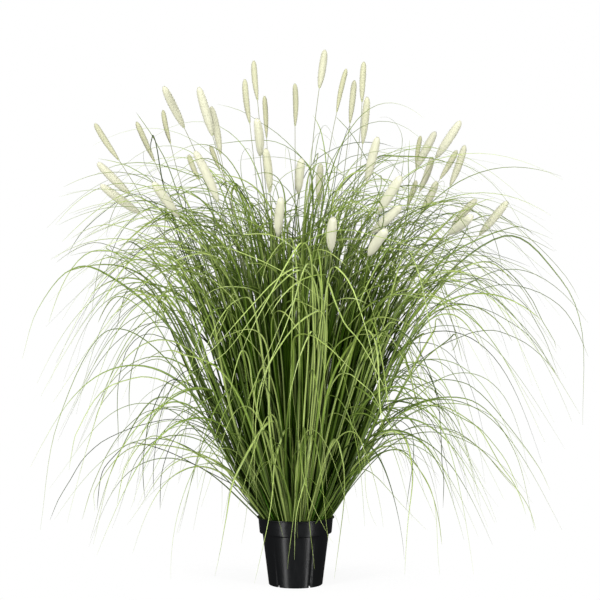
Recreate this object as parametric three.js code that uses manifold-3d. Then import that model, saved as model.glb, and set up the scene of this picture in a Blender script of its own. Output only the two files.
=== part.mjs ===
// Fountain grass in a plain nursery pot: pot, filling, twelve tufts and forty-two plumes.
// Millimetres, +Z up, origin under the middle of the pot, front towards -Y.
import * as THREE from 'three';
import { mergeVertices } from 'three/addons/utils/BufferGeometryUtils.js';
import Module from 'manifold-3d';

const wasm = await Module();
wasm.setup();

// Pot
const potHeight = 150;
const lipRadius = 86;
const lipHeight = 2.6;
const collarTopRadius = 83;
const collarFootRadius = 80;
const collarHeight = 35;
const bodyTopRadius = 74;
const footRadius = 59.5;
const footRounding = 2.5;
const wall = 2;
const floorThickness = 3;
const potSides = 30;
const notchCount = 5;
const notchFirst = -58;
const notchWidth = 6;
const notchHeight = 7;
const fluteHeight = 111;
const fluteRadius = 4;
const fluteDepth = 1.4;

// Filling
const gap = 0.3;
const fillingTop = 127;
const fillingRise = 3;

// Tufts
const tuftCount = 12;
const wedge = 2 * Math.PI / tuftCount;
const firstWedge = THREE.MathUtils.degToRad(25);
const crownBottom = 116;
const crownTop = 132;
const crownInner = 10;
const crownOuter = 58;
const crownInset = 1.2;
const rootHeight = 119;
const innerRoot = 15;
const outerRoot = 49;
const rootRoom = 3.6;
const seenRoot = 42;
const bladeRoll = 75;
const seenRoll = 50;
const bladesPerTuft = 24;
const bladeSteps = 40;
const measureStep = 6;
const bladeSpacing = 1.4;
const attempts = 160;
const shortShare = 0.3;
const bladeWidth = 8;
const tipWidth = 0.9;
const bladeKeel = 0.2;
const leastKeel = 0.9;
const reach = 592;
const lowestTip = 62;
const headClearance = 1.3;
const wedgeClearance = 0.5;
const stemSide = 1.9;
const stemRoot = 18;
const stemSpread = 0.075;
const stemLeave = 0.4;
const stemArrive = 0.3;
const stemShares = [0, 0.25, 0.5, 0.75, 0.9, 1];
const seenShares = [0, 0.15, 0.3, 0.42, 0.54, 0.66, 0.78, 0.9, 1];

// Each plume: foot of the head in x, y, z, then its lean, the way it leans, length and girth.
const plumes = [
  [-403, 90, 949, 35, 163, 105, 14],
  [-331, 190, 954, 25, 171, 105, 13],
  [-300, 260, 1004, 24, 124, 92, 12],
  [-243, -60, 1006, 33, -139, 102, 18],
  [-364, -40, 863, 47, -160, 98, 19],
  [-332, -130, 815, 55, -163, 104, 19],
  [-243, -200, 803, 46, -134, 100, 19],
  [-177, -130, 981, 22, -134, 108, 19],
  [-168, 20, 955, 11, 180, 110, 17],
  [-228, 210, 913, 43, 119, 88, 13],
  [-158, -260, 832, 29, -145, 116, 19],
  [-184, 290, 944, 42, 117, 84, 11],
  [-104, 60, 1030, 13, 121, 105, 14],
  [-89, 150, 1094, 18, 108, 101, 14],
  [-70, 250, 1017, 10, 108, 104, 12],
  [-75, -150, 936, 37, -96, 92, 19],
  [-2, 170, 1036, 14, 91, 106, 13],
  [-53, -210, 854, 29, -100, 100, 17],
  [-35, -280, 760, 38, -83, 96, 19],
  [6, -160, 856, 39, -83, 88, 19],
  [54, 130, 854, 22, 84, 102, 17],
  [72, -330, 729, 43, -87, 88, 20],
  [53, 50, 1108, 19, 65, 96, 17],
  [96, 200, 1072, 22, 57, 116, 12],
  [124, 110, 1036, 16, 67, 106, 14],
  [149, 40, 1075, 15, 78, 98, 14],
  [146, -70, 970, 20, -76, 104, 16],
  [150, -170, 880, 28, -63, 102, 19],
  [287, 250, 943, 26, 71, 92, 11],
  [277, 100, 934, 29, 18, 95, 19],
  [306, -60, 940, 38, -33, 98, 19],
  [290, 180, 885, 27, 41, 92, 16],
  [268, 290, 857, 41, 63, 86, 13],
  [339, 200, 915, 37, 36, 88, 14],
  [283, 60, 825, 29, 25, 86, 17],
  [354, 110, 892, 22, 22, 102, 17],
  [173, -230, 812, 44, -51, 98, 21],
  [161, -150, 772, 53, -34, 92, 20],
  [149, -300, 721, 58, -66, 92, 21],
  [348, 10, 793, 45, 25, 90, 17],
  [325, -170, 770, 67, -60, 88, 20],
  [400, -70, 772, 42, -26, 96, 18],
];

// The blades that the photograph shows one by one, as the points that they pass after the crown.
const seenBlades = [
  [[-42, -90, 370], [-121, -200, 270], [-147, -228, 174], [-167, -262, 64]],
  [[-10, -80, 352], [-42, -140, 293], [-57, -180, 190], [-80, -215, 40]],
  [[34, -90, 342], [24, -135, 251], [5, -160, 173], [-9, -180, 85]],
  [[8, -70, 363], [3, -115, 260], [-3, -140, 149], [-9, -152, 58]],
  [[76, -112, 326], [96, -150, 300], [102, -180, 225], [96, -178, 130], [90, -182, 42]],
  [[-97, -14, 196], [-200, -28, 286], [-351, -50, 310], [-437, -62, 224], [-441, -64, 169]],
  [[-130, -6, 300], [-270, -14, 560], [-420, -20, 690], [-502, -20, 695], [-569, -22, 606], [-598, -24, 500]],
  [[-140, -26, 270], [-280, -52, 500], [-413, -75, 561], [-513, -92, 361], [-547, -98, 135]],
  [[-95, 32, 205], [-200, 68, 350], [-324, 110, 406], [-424, 145, 250], [-477, 160, 75]],
  [[-100, -33, 230], [-190, -62, 370], [-280, -92, 406], [-380, -125, 295], [-430, -138, 109]],
  [[110, 5, 300], [270, 14, 610], [464, 22, 772], [587, 28, 683], [640, 30, 561], [642, 30, 350]],
  [[85, -40, 200], [140, -66, 280], [211, -100, 310], [293, -148, 222], [311, -168, 52]],
  [[90, -36, 220], [160, -63, 320], [226, -90, 340], [252, -100, 260], [246, -100, 150], [242, -102, 40]],
  [[100, 6, 220], [230, 14, 380], [387, 25, 406], [487, 30, 295], [536, 34, 114]],
  [[120, 24, 500], [215, 44, 832], [251, 52, 984]],
];

// Repeatable draw between 0 and 1 for a numbered thing and a purpose.
function draw(number, purpose) {
  const value = Math.sin(number * 127.1 + purpose * 311.7) * 43758.5453;
  return value - Math.floor(value);
}

function degrees(value) {
  return THREE.MathUtils.degToRad(value);
}

// Closed three.js geometry as a solid that can be joined and cut.
function solidOf(geometry) {
  geometry.deleteAttribute('normal');
  geometry.deleteAttribute('uv');
  const merged = mergeVertices(geometry, 1e-4);
  const vertProperties = Float32Array.from(merged.attributes.position.array);
  const triVerts = Uint32Array.from(merged.index.array);
  return new wasm.Manifold(new wasm.Mesh({ numProp: 3, vertProperties, triVerts }));
}

function geometryOf(solid) {
  const mesh = solid.getMesh();
  const geometry = new THREE.BufferGeometry();
  geometry.setAttribute('position', new THREE.BufferAttribute(Float32Array.from(mesh.vertProperties), 3));
  geometry.setIndex(new THREE.BufferAttribute(Uint32Array.from(mesh.triVerts), 1));
  geometry.computeVertexNormals();
  return geometry;
}

// Solid of revolution about Z from radius and height pairs that start and end on the axis.
function turned(profile, sides) {
  const geometry = new THREE.LatheGeometry(profile.map(([r, z]) => new THREE.Vector2(r, z)), sides);
  geometry.rotateX(Math.PI / 2);
  return solidOf(geometry);
}

// Skin over rings of equally many points, closed by a point at each end.
function skinned(start, rings, end) {
  const sides = rings[0].length;
  const points = [start, ...rings.flat(), end];
  const last = points.length - 1;
  const faces = [];
  for (let side = 0; side < sides; side += 1) {
    const next = (side + 1) % sides;
    faces.push(0, 1 + next, 1 + side);
    for (let ring = 0; ring < rings.length - 1; ring += 1) {
      const low = 1 + ring * sides;
      const high = low + sides;
      faces.push(low + side, low + next, high + next);
      faces.push(low + side, high + next, high + side);
    }
    const top = 1 + (rings.length - 1) * sides;
    faces.push(top + side, top + next, last);
  }
  const geometry = new THREE.BufferGeometry();
  geometry.setAttribute('position', new THREE.Float32BufferAttribute(points.flatMap((p) => p.toArray()), 3));
  geometry.setIndex(faces);
  return geometry;
}

function bodyRadius(height) {
  return THREE.MathUtils.mapLinear(height, 0, potHeight - collarHeight, footRadius, bodyTopRadius);
}

function innerRadius(height) {
  const step = potHeight - collarHeight;
  if (height < step) {
    return bodyRadius(height) - wall;
  }
  return THREE.MathUtils.mapLinear(height, step + wall, potHeight, collarFootRadius, collarTopRadius) - wall;
}

function makePot() {
  const step = potHeight - collarHeight;
  const outside = [
    [0, 0],
    [footRadius - footRounding, 0],
    [bodyRadius(footRounding), footRounding],
    [bodyRadius(step), step],
    [collarFootRadius - 1.5, step],
    [collarFootRadius, step + 1.5],
    [collarTopRadius, potHeight - lipHeight],
    [lipRadius, potHeight - lipHeight],
    [lipRadius, potHeight - 0.5],
    [lipRadius - 0.5, potHeight],
  ];
  const inside = [
    [collarTopRadius - wall, potHeight],
    [innerRadius(step + wall), step + wall],
    [innerRadius(step - 1), step - 1],
    [innerRadius(floorThickness), floorThickness],
    [0, floorThickness],
  ];
  let pot = turned([...outside, ...inside], potSides);
  for (let index = 0; index < notchCount; index += 1) {
    const angle = degrees(notchFirst + index * 360 / notchCount);
    pot = pot.subtract(notch(angle)).subtract(flute(angle));
  }
  return geometryOf(pot);
}

// Drain notch through the foot of the wall.
function notch(angle) {
  const depth = 12;
  const box = new THREE.BoxGeometry(depth, notchWidth, notchHeight + 1);
  box.translate(footRadius, 0, (notchHeight - 1) / 2);
  box.rotateZ(angle);
  return solidOf(box);
}

// Shallow groove that fades out up the wall above a notch.
function flute(angle) {
  const bottom = new THREE.Vector3(bodyRadius(0) + fluteRadius - fluteDepth, 0, -1);
  const top = new THREE.Vector3(bodyRadius(fluteHeight) + 0.4, 0, fluteHeight);
  const ring = (centre, radius) => [0, 1, 2, 3, 4, 5].map((side) => {
    const turn = side * Math.PI / 3;
    return new THREE.Vector3(centre.x + radius * Math.cos(turn), radius * Math.sin(turn), centre.z);
  });
  const geometry = skinned(bottom, [ring(bottom, fluteRadius), ring(top, 0.3)], top);
  geometry.rotateZ(angle);
  return solidOf(geometry);
}

// Plan of one crown: a wedge of the pot's round with its point cut off, drawn inside its own wedge.
function crownPlan(inset, grow) {
  const half = wedge / 2;
  const point = (radius, share) => {
    const angle = share * (half - inset / radius);
    return new THREE.Vector2(radius * Math.cos(angle), radius * Math.sin(angle));
  };
  const inner = crownInner - grow;
  const outer = crownOuter + grow;
  return new THREE.Shape([point(inner, -1), point(outer, -1), point(outer, 0), point(outer, 1), point(inner, 1)]);
}

function wedgeMiddle(index) {
  return firstWedge + (index + 0.5) * wedge;
}

function crownSolid(index, inset, grow, bottom, top) {
  const geometry = new THREE.ExtrudeGeometry(crownPlan(inset, grow), { depth: top - bottom, bevelEnabled: false });
  geometry.translate(0, 0, bottom);
  geometry.rotateZ(wedgeMiddle(index));
  return solidOf(geometry);
}

function makeFilling() {
  const bottom = floorThickness + gap;
  const step = potHeight - collarHeight;
  let filling = turned([
    [0, bottom],
    [innerRadius(bottom) - gap - 0.4, bottom],
    [innerRadius(step - 1) - gap - 0.4, step - 1],
    [innerRadius(step + wall) - gap - 0.6, step + wall + 1],
    [innerRadius(fillingTop) - gap - 0.6, fillingTop],
    [0, fillingTop + fillingRise],
  ], potSides);
  for (let index = 0; index < tuftCount; index += 1) {
    const pocket = crownSolid(index, crownInset - gap, gap, crownBottom - gap, crownTop + 5);
    filling = filling.subtract(pocket);
  }
  return geometryOf(filling);
}

// Direction of a lean from upright towards a compass angle, both in degrees.
function leaning(lean, towards) {
  const side = Math.sin(degrees(lean));
  const turn = degrees(towards);
  return new THREE.Vector3(side * Math.cos(turn), side * Math.sin(turn), Math.cos(degrees(lean)));
}

// A plume's places: where its head starts and ends, and how thick it is.
const heads = plumes.map(([x, y, z, lean, towards, length, girth]) => {
  const foot = new THREE.Vector3(x, y, z);
  const along = leaning(lean, towards);
  const tip = foot.clone().addScaledVector(along, length);
  return { foot, tip, along, length, girth };
});

function wedgeOf(point) {
  const turn = Math.atan2(point.y, point.x) - firstWedge + 4 * Math.PI;
  return Math.floor(turn / wedge) % tuftCount;
}

// Angle from the middle of a wedge, between minus and plus half a turn.
function fromMiddle(point, index) {
  const turn = Math.atan2(point.y, point.x) - wedgeMiddle(index);
  return Math.atan2(Math.sin(turn), Math.cos(turn));
}

function widthAt(share) {
  return bladeWidth * Math.min(1, 0.4 + 4 * share) * (1 - share) ** 0.85 + tipWidth;
}

// The traits of one blade of a tuft, drawn from its number.
function bladeTraits(tuft, place, attempt) {
  const number = tuft * 100 + place + attempt * 1300;
  const outward = Math.sqrt((place + draw(number, 1)) / bladesPerTuft);
  const root = THREE.MathUtils.lerp(innerRoot, outerRoot, outward);
  const side = 2 * draw(number, 2) - 1;
  const sway = 0.55 * side + 0.45 * (2 * draw(number, 3) - 1);
  const start = wedgeMiddle(tuft) + side * (wedge / 2 - rootRoom / root);
  const finish = wedgeMiddle(tuft) + sway * (wedge / 2 - 0.02);
  const roll = degrees(bladeRoll * (2 * draw(number, 10) - 1));
  const traits = { root, start, finish, roll };
  if (draw(tuft * 100 + place, 9) < shortShare) {
    traits.lean = 6 + 21 * outward ** 2 + 8 * (draw(number, 4) - 0.5);
    traits.length = 560 + 340 * draw(number, 5);
    traits.crest = 0.56 + 0.14 * (draw(number, 6) - 0.5);
    traits.droop = 148 + 22 * draw(number, 7);
    traits.tight = 9 + 7 * draw(number, 8);
  } else {
    traits.lean = 1 + 22 * outward ** 1.5 + 8 * (draw(number, 4) - 0.5);
    traits.length = 1165 - 120 * outward + 210 * (draw(number, 5) - 0.5);
    traits.crest = 0.76 - 0.13 * outward + 0.2 * (draw(number, 6) - 0.5);
    traits.droop = 132 + 36 * draw(number, 7) * (0.4 + 0.6 * outward);
    traits.tight = 8 + 8 * draw(number, 8);
  }
  traits.lean = Math.max(traits.lean, 1);
  return traits;
}

// Centre line of a blade: it stands at its lean, turns over at its crest and hangs at its droop.
// The angle from upright is lean + (droop - lean) / (1 + exp(-tight (share - crest))).
function bladeLine(traits, steps) {
  const { root, start, finish, lean, droop, crest, tight, length } = traits;
  const points = [];
  let radius = root;
  let height = rootHeight;
  for (let index = 0; index <= steps; index += 1) {
    const share = index / steps;
    const turn = start + (finish - start) * share;
    points.push(new THREE.Vector3(radius * Math.cos(turn), radius * Math.sin(turn), height));
    const middle = share + 0.5 / steps;
    const angle = degrees(lean + (droop - lean) / (1 + Math.exp(-tight * (middle - crest))));
    radius += Math.sin(angle) * length / steps;
    height += Math.cos(angle) * length / steps;
  }
  return points;
}

function distanceToHead(point, head) {
  const along = THREE.MathUtils.clamp(point.clone().sub(head.foot).dot(head.along), -1, head.length + 1);
  return point.distanceTo(head.foot.clone().addScaledVector(head.along, along));
}

// Places along the straight stretches between a curve's rings, with half the width there.
function stretches(curve, shares, widthOf) {
  const places = [];
  for (let index = 0; index < shares.length - 1; index += 1) {
    const from = curve.getPoint(shares[index]);
    const to = curve.getPoint(shares[index + 1]);
    const steps = Math.ceil(from.distanceTo(to) / measureStep);
    for (let step = 0; step < steps; step += 1) {
      const part = step / steps;
      const share = THREE.MathUtils.lerp(shares[index], shares[index + 1], part);
      places.push({ point: from.clone().lerp(to, part), half: widthOf(share) / 2 });
    }
  }
  return places;
}

// Whether a blade keeps to its wedge, inside the plant's reach, off the floor and clear of the heads.
function fits(places, tuft) {
  return places.every(({ point, half }) => {
    const radius = Math.hypot(point.x, point.y);
    const room = wedge / 2 - (half + wedgeClearance) / radius;
    if (Math.abs(fromMiddle(point, tuft)) > room || radius > reach || point.z < lowestTip) {
      return false;
    }
    return heads.every((head) => distanceToHead(point, head) > head.girth / 2 + half + headClearance);
  });
}

// Whether a blade stays apart from others above the crown, by half its width and a little more.
function apart(places, others) {
  return places.every(({ point, half }) => {
    if (point.z < crownTop - 2) {
      return true;
    }
    return others.every((other) => point.distanceTo(other.point) > half + bladeSpacing);
  });
}

// Three-sided blade with its keel on the underside, along a curve with a ring at some shares.
function bladeSolid(curve, shares, roll) {
  const rings = shares.slice(0, -1).map((share) => {
    const centre = curve.getPoint(share);
    const along = curve.getTangent(share);
    const turn = Math.atan2(centre.y, centre.x);
    const across = new THREE.Vector3(-Math.sin(turn), Math.cos(turn), 0);
    across.addScaledVector(along, -across.dot(along)).normalize().applyAxisAngle(along, roll);
    const over = along.clone().cross(across);
    const half = widthAt(share) / 2;
    const keel = Math.max(leastKeel, 2 * half * bladeKeel);
    return [
      centre.clone().addScaledVector(across, -half),
      centre.clone().addScaledVector(over, -keel),
      centre.clone().addScaledVector(across, half),
    ];
  });
  return solidOf(skinned(curve.getPoint(0), rings, curve.getPoint(1)));
}

function through(points) {
  return new THREE.CatmullRomCurve3(points, false, 'catmullrom', 0.5);
}

// Shares of the length with a ring: few on the straight run, more round the crest, and the tip.
function ringShares(crest, tight) {
  const bend = 2.1 / tight;
  const shares = [0, (crest - bend) / 2, crest - bend, crest - bend / 3, crest + bend / 3, crest + bend];
  const rest = (shares.at(-1) + 1) / 2;
  return [...shares, rest].filter((share) => share < 0.97).concat(1);
}

// The blades of a tuft, each one redrawn until it is clear of the blades and stems already there.
function tuftBlades(tuft, taken) {
  const blades = [];
  const places = [...taken];
  for (let place = 0; place < bladesPerTuft; place += 1) {
    for (let attempt = 0; attempt < attempts; attempt += 1) {
      const traits = bladeTraits(tuft, place, attempt);
      const curve = through(bladeLine(traits, bladeSteps));
      const shares = ringShares(traits.crest, traits.tight);
      const route = stretches(curve, shares, widthAt);
      if (fits(route, tuft) && apart(route, places)) {
        blades.push(bladeSolid(curve, shares, traits.roll));
        places.push(...route.filter(({ point }) => point.z > crownTop - 6));
        break;
      }
    }
  }
  return blades;
}

// Point of the crown under a place, kept in the wedge with room for a stem or a narrow blade.
function rootUnder(place, tuft, radius) {
  const room = wedge / 2 - rootRoom / radius;
  const turn = wedgeMiddle(tuft) + THREE.MathUtils.clamp(fromMiddle(place, tuft), -room, room);
  return new THREE.Vector3(radius * Math.cos(turn), radius * Math.sin(turn), rootHeight);
}

// The seen blades of one tuft, each as a curve from its root.
function seenLines(tuft) {
  const lines = [];
  seenBlades.forEach((places, index) => {
    const points = places.map(([x, y, z]) => new THREE.Vector3(x, y, z));
    if (wedgeOf(points.at(-1)) === tuft) {
      lines.push(through([rootUnder(points[0], tuft, seenRoot + 4 * draw(index, 20)), ...points]));
    }
  });
  return lines;
}

function seenTurn(number) {
  return degrees(seenRoll * (2 * draw(number, 21) - 1));
}

// Bare stem from the crown to just under the head that it carries.
function stemLine(head, tuft) {
  const reachOut = Math.hypot(head.foot.x, head.foot.y);
  const root = rootUnder(head.foot, tuft, stemRoot + reachOut * stemSpread);
  const end = head.foot.clone().addScaledVector(head.along, -gap);
  const rise = end.z - root.z;
  const outward = new THREE.Vector3(end.x - root.x, end.y - root.y, 0).multiplyScalar(0.22);
  const leave = root.clone().add(outward).add(new THREE.Vector3(0, 0, rise * stemLeave));
  const arrive = end.clone().addScaledVector(head.along, -rise * stemArrive);
  return new THREE.CubicBezierCurve3(root, leave, arrive, end);
}

function stemSolid(line) {
  const rings = stemShares.map((share) => {
    const centre = line.getPoint(share);
    const along = line.getTangent(share);
    const across = new THREE.Vector3(1, 0, 0).addScaledVector(along, -along.x).normalize();
    const radius = stemSide * (1 - 0.3 * share) / 2;
    return [0, 1, 2].map((side) => {
      const spoke = across.clone().applyAxisAngle(along, side * 2 * Math.PI / 3);
      return centre.clone().addScaledVector(spoke, radius);
    });
  });
  return solidOf(skinned(line.getPoint(0), rings, line.getPoint(1)));
}

function makeTuft(tuft) {
  const stems = heads.filter((head) => wedgeOf(head.foot) === tuft).map((head) => stemLine(head, tuft));
  const seen = seenLines(tuft);
  const taken = [
    ...seen.flatMap((curve) => stretches(curve, seenShares, widthAt)),
    ...stems.flatMap((curve) => stretches(curve, stemShares, () => stemSide)),
  ].filter(({ point }) => point.z > crownTop - 6);
  const pieces = [
    ...stems.map(stemSolid),
    ...seen.map((curve, index) => bladeSolid(curve, seenShares, seenTurn(tuft + index))),
    ...tuftBlades(tuft, taken),
  ];
  const crown = crownSolid(tuft, crownInset, 0, crownBottom, crownTop);
  return geometryOf(pieces.reduce((whole, piece) => whole.add(piece), crown));
}

// Seed head: a spindle whose skin stands up in staggered florets.
function makePlume(head, index) {
  const ringCount = 8;
  const sides = 6;
  const across = new THREE.Vector3(0, 0, 1).cross(head.along).normalize();
  const rings = [];
  for (let ring = 0; ring < ringCount; ring += 1) {
    const share = (ring + 0.45) / ringCount;
    const swell = Math.sin(Math.PI * (0.1 + 0.82 * share)) ** 0.55;
    const centre = head.foot.clone().addScaledVector(head.along, head.length * share);
    const points = [];
    for (let side = 0; side < sides; side += 1) {
      const stands = (side + ring) % 2 === 0;
      const radius = swell * head.girth / 2 * (stands ? 1 : 0.62);
      const spoke = across.clone().applyAxisAngle(head.along, (side + index * 0.3) * 2 * Math.PI / sides);
      const lift = stands ? head.length * 0.035 : 0;
      points.push(centre.clone().addScaledVector(spoke, radius).addScaledVector(head.along, lift));
    }
    rings.push(points);
  }
  return geometryOf(solidOf(skinned(head.foot, rings, head.tip)));
}

const group = new THREE.Group();

function addPart(name, geometry, colour, roughness) {
  const material = new THREE.MeshStandardMaterial({ color: colour, roughness, metalness: 0 });
  const mesh = new THREE.Mesh(geometry, material);
  mesh.name = name;
  group.add(mesh);
}

addPart('pot', makePot(), 0x1c1d1f, 0.3);
addPart('filling', makeFilling(), 0x2b2620, 0.95);
for (let tuft = 0; tuft < tuftCount; tuft += 1) {
  addPart(`tuft_${String(tuft + 1).padStart(2, '0')}`, makeTuft(tuft), 0x6f8440, 0.5);
}
heads.forEach((head, index) => {
  addPart(`plume_${String(index + 1).padStart(2, '0')}`, makePlume(head, index), 0xe6e6c2, 0.85);
});

export default group;
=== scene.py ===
# Potted fountain grass: fine blades, bristled plumes, glossy pot and dark filling round the CAD frame.
# Sizes of the plant and the pot are in millimetres, and become metres where a mesh is made.
import math

import bpy
import numpy as np
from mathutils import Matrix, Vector
from mathutils.kdtree import KDTree


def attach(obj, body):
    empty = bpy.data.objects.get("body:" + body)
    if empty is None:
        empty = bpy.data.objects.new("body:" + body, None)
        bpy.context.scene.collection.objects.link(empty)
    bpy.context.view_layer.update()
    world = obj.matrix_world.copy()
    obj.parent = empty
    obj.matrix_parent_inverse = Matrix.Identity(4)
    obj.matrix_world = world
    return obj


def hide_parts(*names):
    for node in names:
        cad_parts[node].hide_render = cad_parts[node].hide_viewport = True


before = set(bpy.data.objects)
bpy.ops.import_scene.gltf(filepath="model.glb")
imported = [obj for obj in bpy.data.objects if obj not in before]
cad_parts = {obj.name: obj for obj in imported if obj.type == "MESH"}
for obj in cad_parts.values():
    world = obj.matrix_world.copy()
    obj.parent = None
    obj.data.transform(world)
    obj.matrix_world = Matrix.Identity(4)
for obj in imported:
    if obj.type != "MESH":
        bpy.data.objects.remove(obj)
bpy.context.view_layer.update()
print("frame loaded:", len(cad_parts), "nodes")

millimetre = 0.001

# The pot and its filling, as in the CAD.
pot = {
    "height": 150,
    "lipRadius": 86,
    "lipHeight": 2.6,
    "collarTop": 83,
    "collarFoot": 80,
    "collarHeight": 35,
    "bodyTop": 74,
    "foot": 59.5,
    "wall": 2,
    "floor": 3,
    "notches": 5,
    "firstNotch": -58,
    "notchWidth": 6,
    "notchHeight": 7,
    "notchDepth": 12,
    "notchBevel": 2,
    "fluteHeight": 111,
    "fluteDepth": 1.5,
    "fluteWidth": 3.2,
    "recess": 4,
    "around": 300,
}
filling = {"top": 127, "rise": 3, "gap": 0.7, "around": 120, "rings": 28, "bumps": 1.6, "sunk": 1.5}

# The tufts, as in the CAD: each one keeps to its wedge of the round.
tufts = {
    "count": 12,
    "first": math.radians(25),
    "crownBottom": 116,
    "crownTop": 132,
    "crownInner": 10,
    "crownOuter": 58,
    "crownInset": 1.2,
    "rootHeight": 119,
    "innerRoot": 15,
    "outerRoot": 49,
    "rootRoom": 3.6,
    "seenRoot": 42,
}
wedge = 2 * math.pi / tufts["count"]
blade = {
    "perTuft": 24,
    "steps": 40,
    "measure": 6,
    "spacing": 1.4,
    "attempts": 160,
    "shortShare": 0.3,
    "width": 8,
    "tip": 0.9,
    "reach": 592,
    "lowest": 62,
    "headClearance": 1.3,
    "wedgeClearance": 0.5,
    "fold": 0.24,
    "thickness": 0.7,
    "taper": 0.85,
    "wander": 9,
    "rings": 36,
    "bendWeight": 90,
    "thinning": 0.42,
    "away": 0.8,
}
extra = {
    "perTuft": 48,
    "moreRight": 8,
    "spread": 0.62,
    "attempts": 10,
    "lowest": 45,
    "reach": 560,
    "rightReach": 55,
    "potRoom": 105,
    "potRise": 10,
    "innerRoot": 8,
    "outerRoot": 54,
    "flare": 17,
    "wander": 26,
}
# The kinds of added blades: how their lean grows outwards and is drawn, then the least and most length,
# crest, droop, tightness and slimness. What a kind leaves out is as for any blade.
kinds = {
    "upright": {"lean": 23.5, "growth": 1.1, "leanDraw": 6, "length": (730, 970), "crest": (0.765, 0.915),
                "droop": (90, 155), "tight": (9, 25), "slim": (0.7, 1), "shorter": 110, "taper": 0.42,
                "thinning": 0.1, "swing": 1.5},
    "crossing": {"lean": 18, "growth": 1, "leanDraw": 8, "length": (950, 1100), "crest": (0.71, 0.8),
                 "droop": (112, 162), "tight": (6, 13), "slim": (0.5, 0.75), "taper": 0.6, "thinning": 0.15,
                 "swing": 1.5},
    "low": {"lean": 32, "growth": 0, "leanDraw": 16, "length": (430, 830), "crest": (0.5, 0.7),
            "droop": (130, 168), "tight": (7, 13), "slim": (0.6, 0.6), "root": (46, 54)},
    "tall": {"lean": 16, "growth": 1, "leanDraw": 6, "length": (1060, 1180), "crest": (0.76, 0.76),
             "droop": (105, 155), "tight": (8, 14), "slim": (0.5, 0.5), "swing": 1},
}
kinds["folded"] = {**kinds["upright"], "crest": (0.705, 0.855), "droop": (145, 170), "tight": (60, 60)}
arching = {"slim": (0.4, 0.75), "turn": 0.8}
# The blades that were placed one by one: where their numbers start, how far they roll, and their form.
plain = {"slim": 1.0, "taper": blade["taper"], "thinning": 0.55}
seen = {"first": 3000, "roll": 50, "purpose": 21, "slim": 1.0, "taper": blade["taper"],
        "thinning": blade["thinning"], "pale": 0.9, "forward": 55, "forwardShare": 0.55}
front = {"first": 4000, "roll": 30, "purpose": 23, "slim": 0.62, "taper": 0.5, "thinning": blade["thinning"],
         "tint": 0.95, "root": 44, "rootSpread": 6}
traced = {"first": 5000, "roll": 40, "purpose": 25, "thinning": 0, "root": 34, "rootSpread": 14,
          "shifts": (0, 30, -30, 60, -60, 90, -90, 130)}
# Painted shade for blades deep in the clump: the clump's cone, with a bulge near its foot, the shares of its
# radius inside which the painted shade is full and outside which there is none, and the heights over which it
# fades out.
shade = {
    "coneFoot": 60,
    "coneSlope": 0.42,
    "bulge": 24,
    "bulgeHeight": 130,
    "dark": 0.83,
    "light": 1.03,
    "fadeFrom": 560,
    "fadeTo": 900,
}
crown = {"rows": 7, "sunk": 3, "edgeSunk": 4, "bumps": 2.5}
stalk = {"perTuft": 5, "radius": 2.3, "sides": 6, "rings": 9, "inner": 26, "spread": 26, "length": 55,
         "longer": 70}
stem = {"side": 1.9, "shares": [0, 0.25, 0.5, 0.75, 0.9, 1], "steps": 30, "sides": 6, "gap": 0.3,
        "finer": 0.3}
seenShares = [0, 0.15, 0.3, 0.42, 0.54, 0.66, 0.78, 0.9, 1]
floret = {
    "rows": 36,
    "around": 14,
    "width": 2,
    "lead": 4,
    "whorl": 6.5,
    "ripple": 0.12,
    "coreRings": 66,
    "coreSides": 18,
    "coreFoot": 0.35,
    "root": 0.72,
    "awns": 1000,
    "awnWidth": 0.36,
    "awnLead": 5,
    "awnRoot": 0.81,
    "bow": 2,
    "thinnest": 11,
    "thickest": 20,
    "level": 0.85,
    "noddingPaintedLight": 0.32,
    "facing": 6,
}
# How thick the thinnest and the thickest heads are at places along them, as parts of their girth.
profile = {
    "places": [0, 0.05, 0.15, 0.3, 0.5, 0.68, 0.82, 0.91, 0.965, 1],
    "thin": [0.2, 0.31, 0.52, 0.78, 0.95, 1, 0.99, 0.88, 0.66, 0.24],
    "thick": [0.2, 0.42, 0.72, 0.93, 1, 0.97, 0.86, 0.73, 0.54, 0.2],
}
stageFloor = {
    "half": 9000,
    "drop": 0.0002,
    "glow": 0.9,
    "shaded": 0.16,
    "matt": 0.15,
    "patchFrom": 0.1,
    "patchTo": 0.42,
}
sky = {"shown": 1, "felt": 0.22, "mirrored": 0.04}
# The pot's wall leans back, so the strips that it mirrors stand low, and only it is meant to show them.
softboxes = {
    "key": {"place": (-2.5, -2.6, 1.1), "target": (0, 0, 0.65), "size": (0.9, 1), "power": 100},
    "fill": {"place": (2.7, -2.5, 1), "target": (0, 0, 0.65), "size": (0.9, 1), "power": 82},
    "front": {"place": (0.2, -4.3, 0.5), "target": (0, 0, 0.7), "size": (1.6, 1), "power": 76},
    "top": {"place": (0, -0.6, 3), "target": (0, 0, 0.5), "size": (1.2, 1.2), "power": 30},
    "strip_left": {"place": (-1.66, -1.87, -0.9), "target": (0, 0, 0.08), "size": (0.5, 2.6), "power": 17},
    "strip_right": {"place": (1.84, -1.69, -0.9), "target": (0, 0, 0.08), "size": (0.26, 2.6), "power": 13},
}


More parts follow.
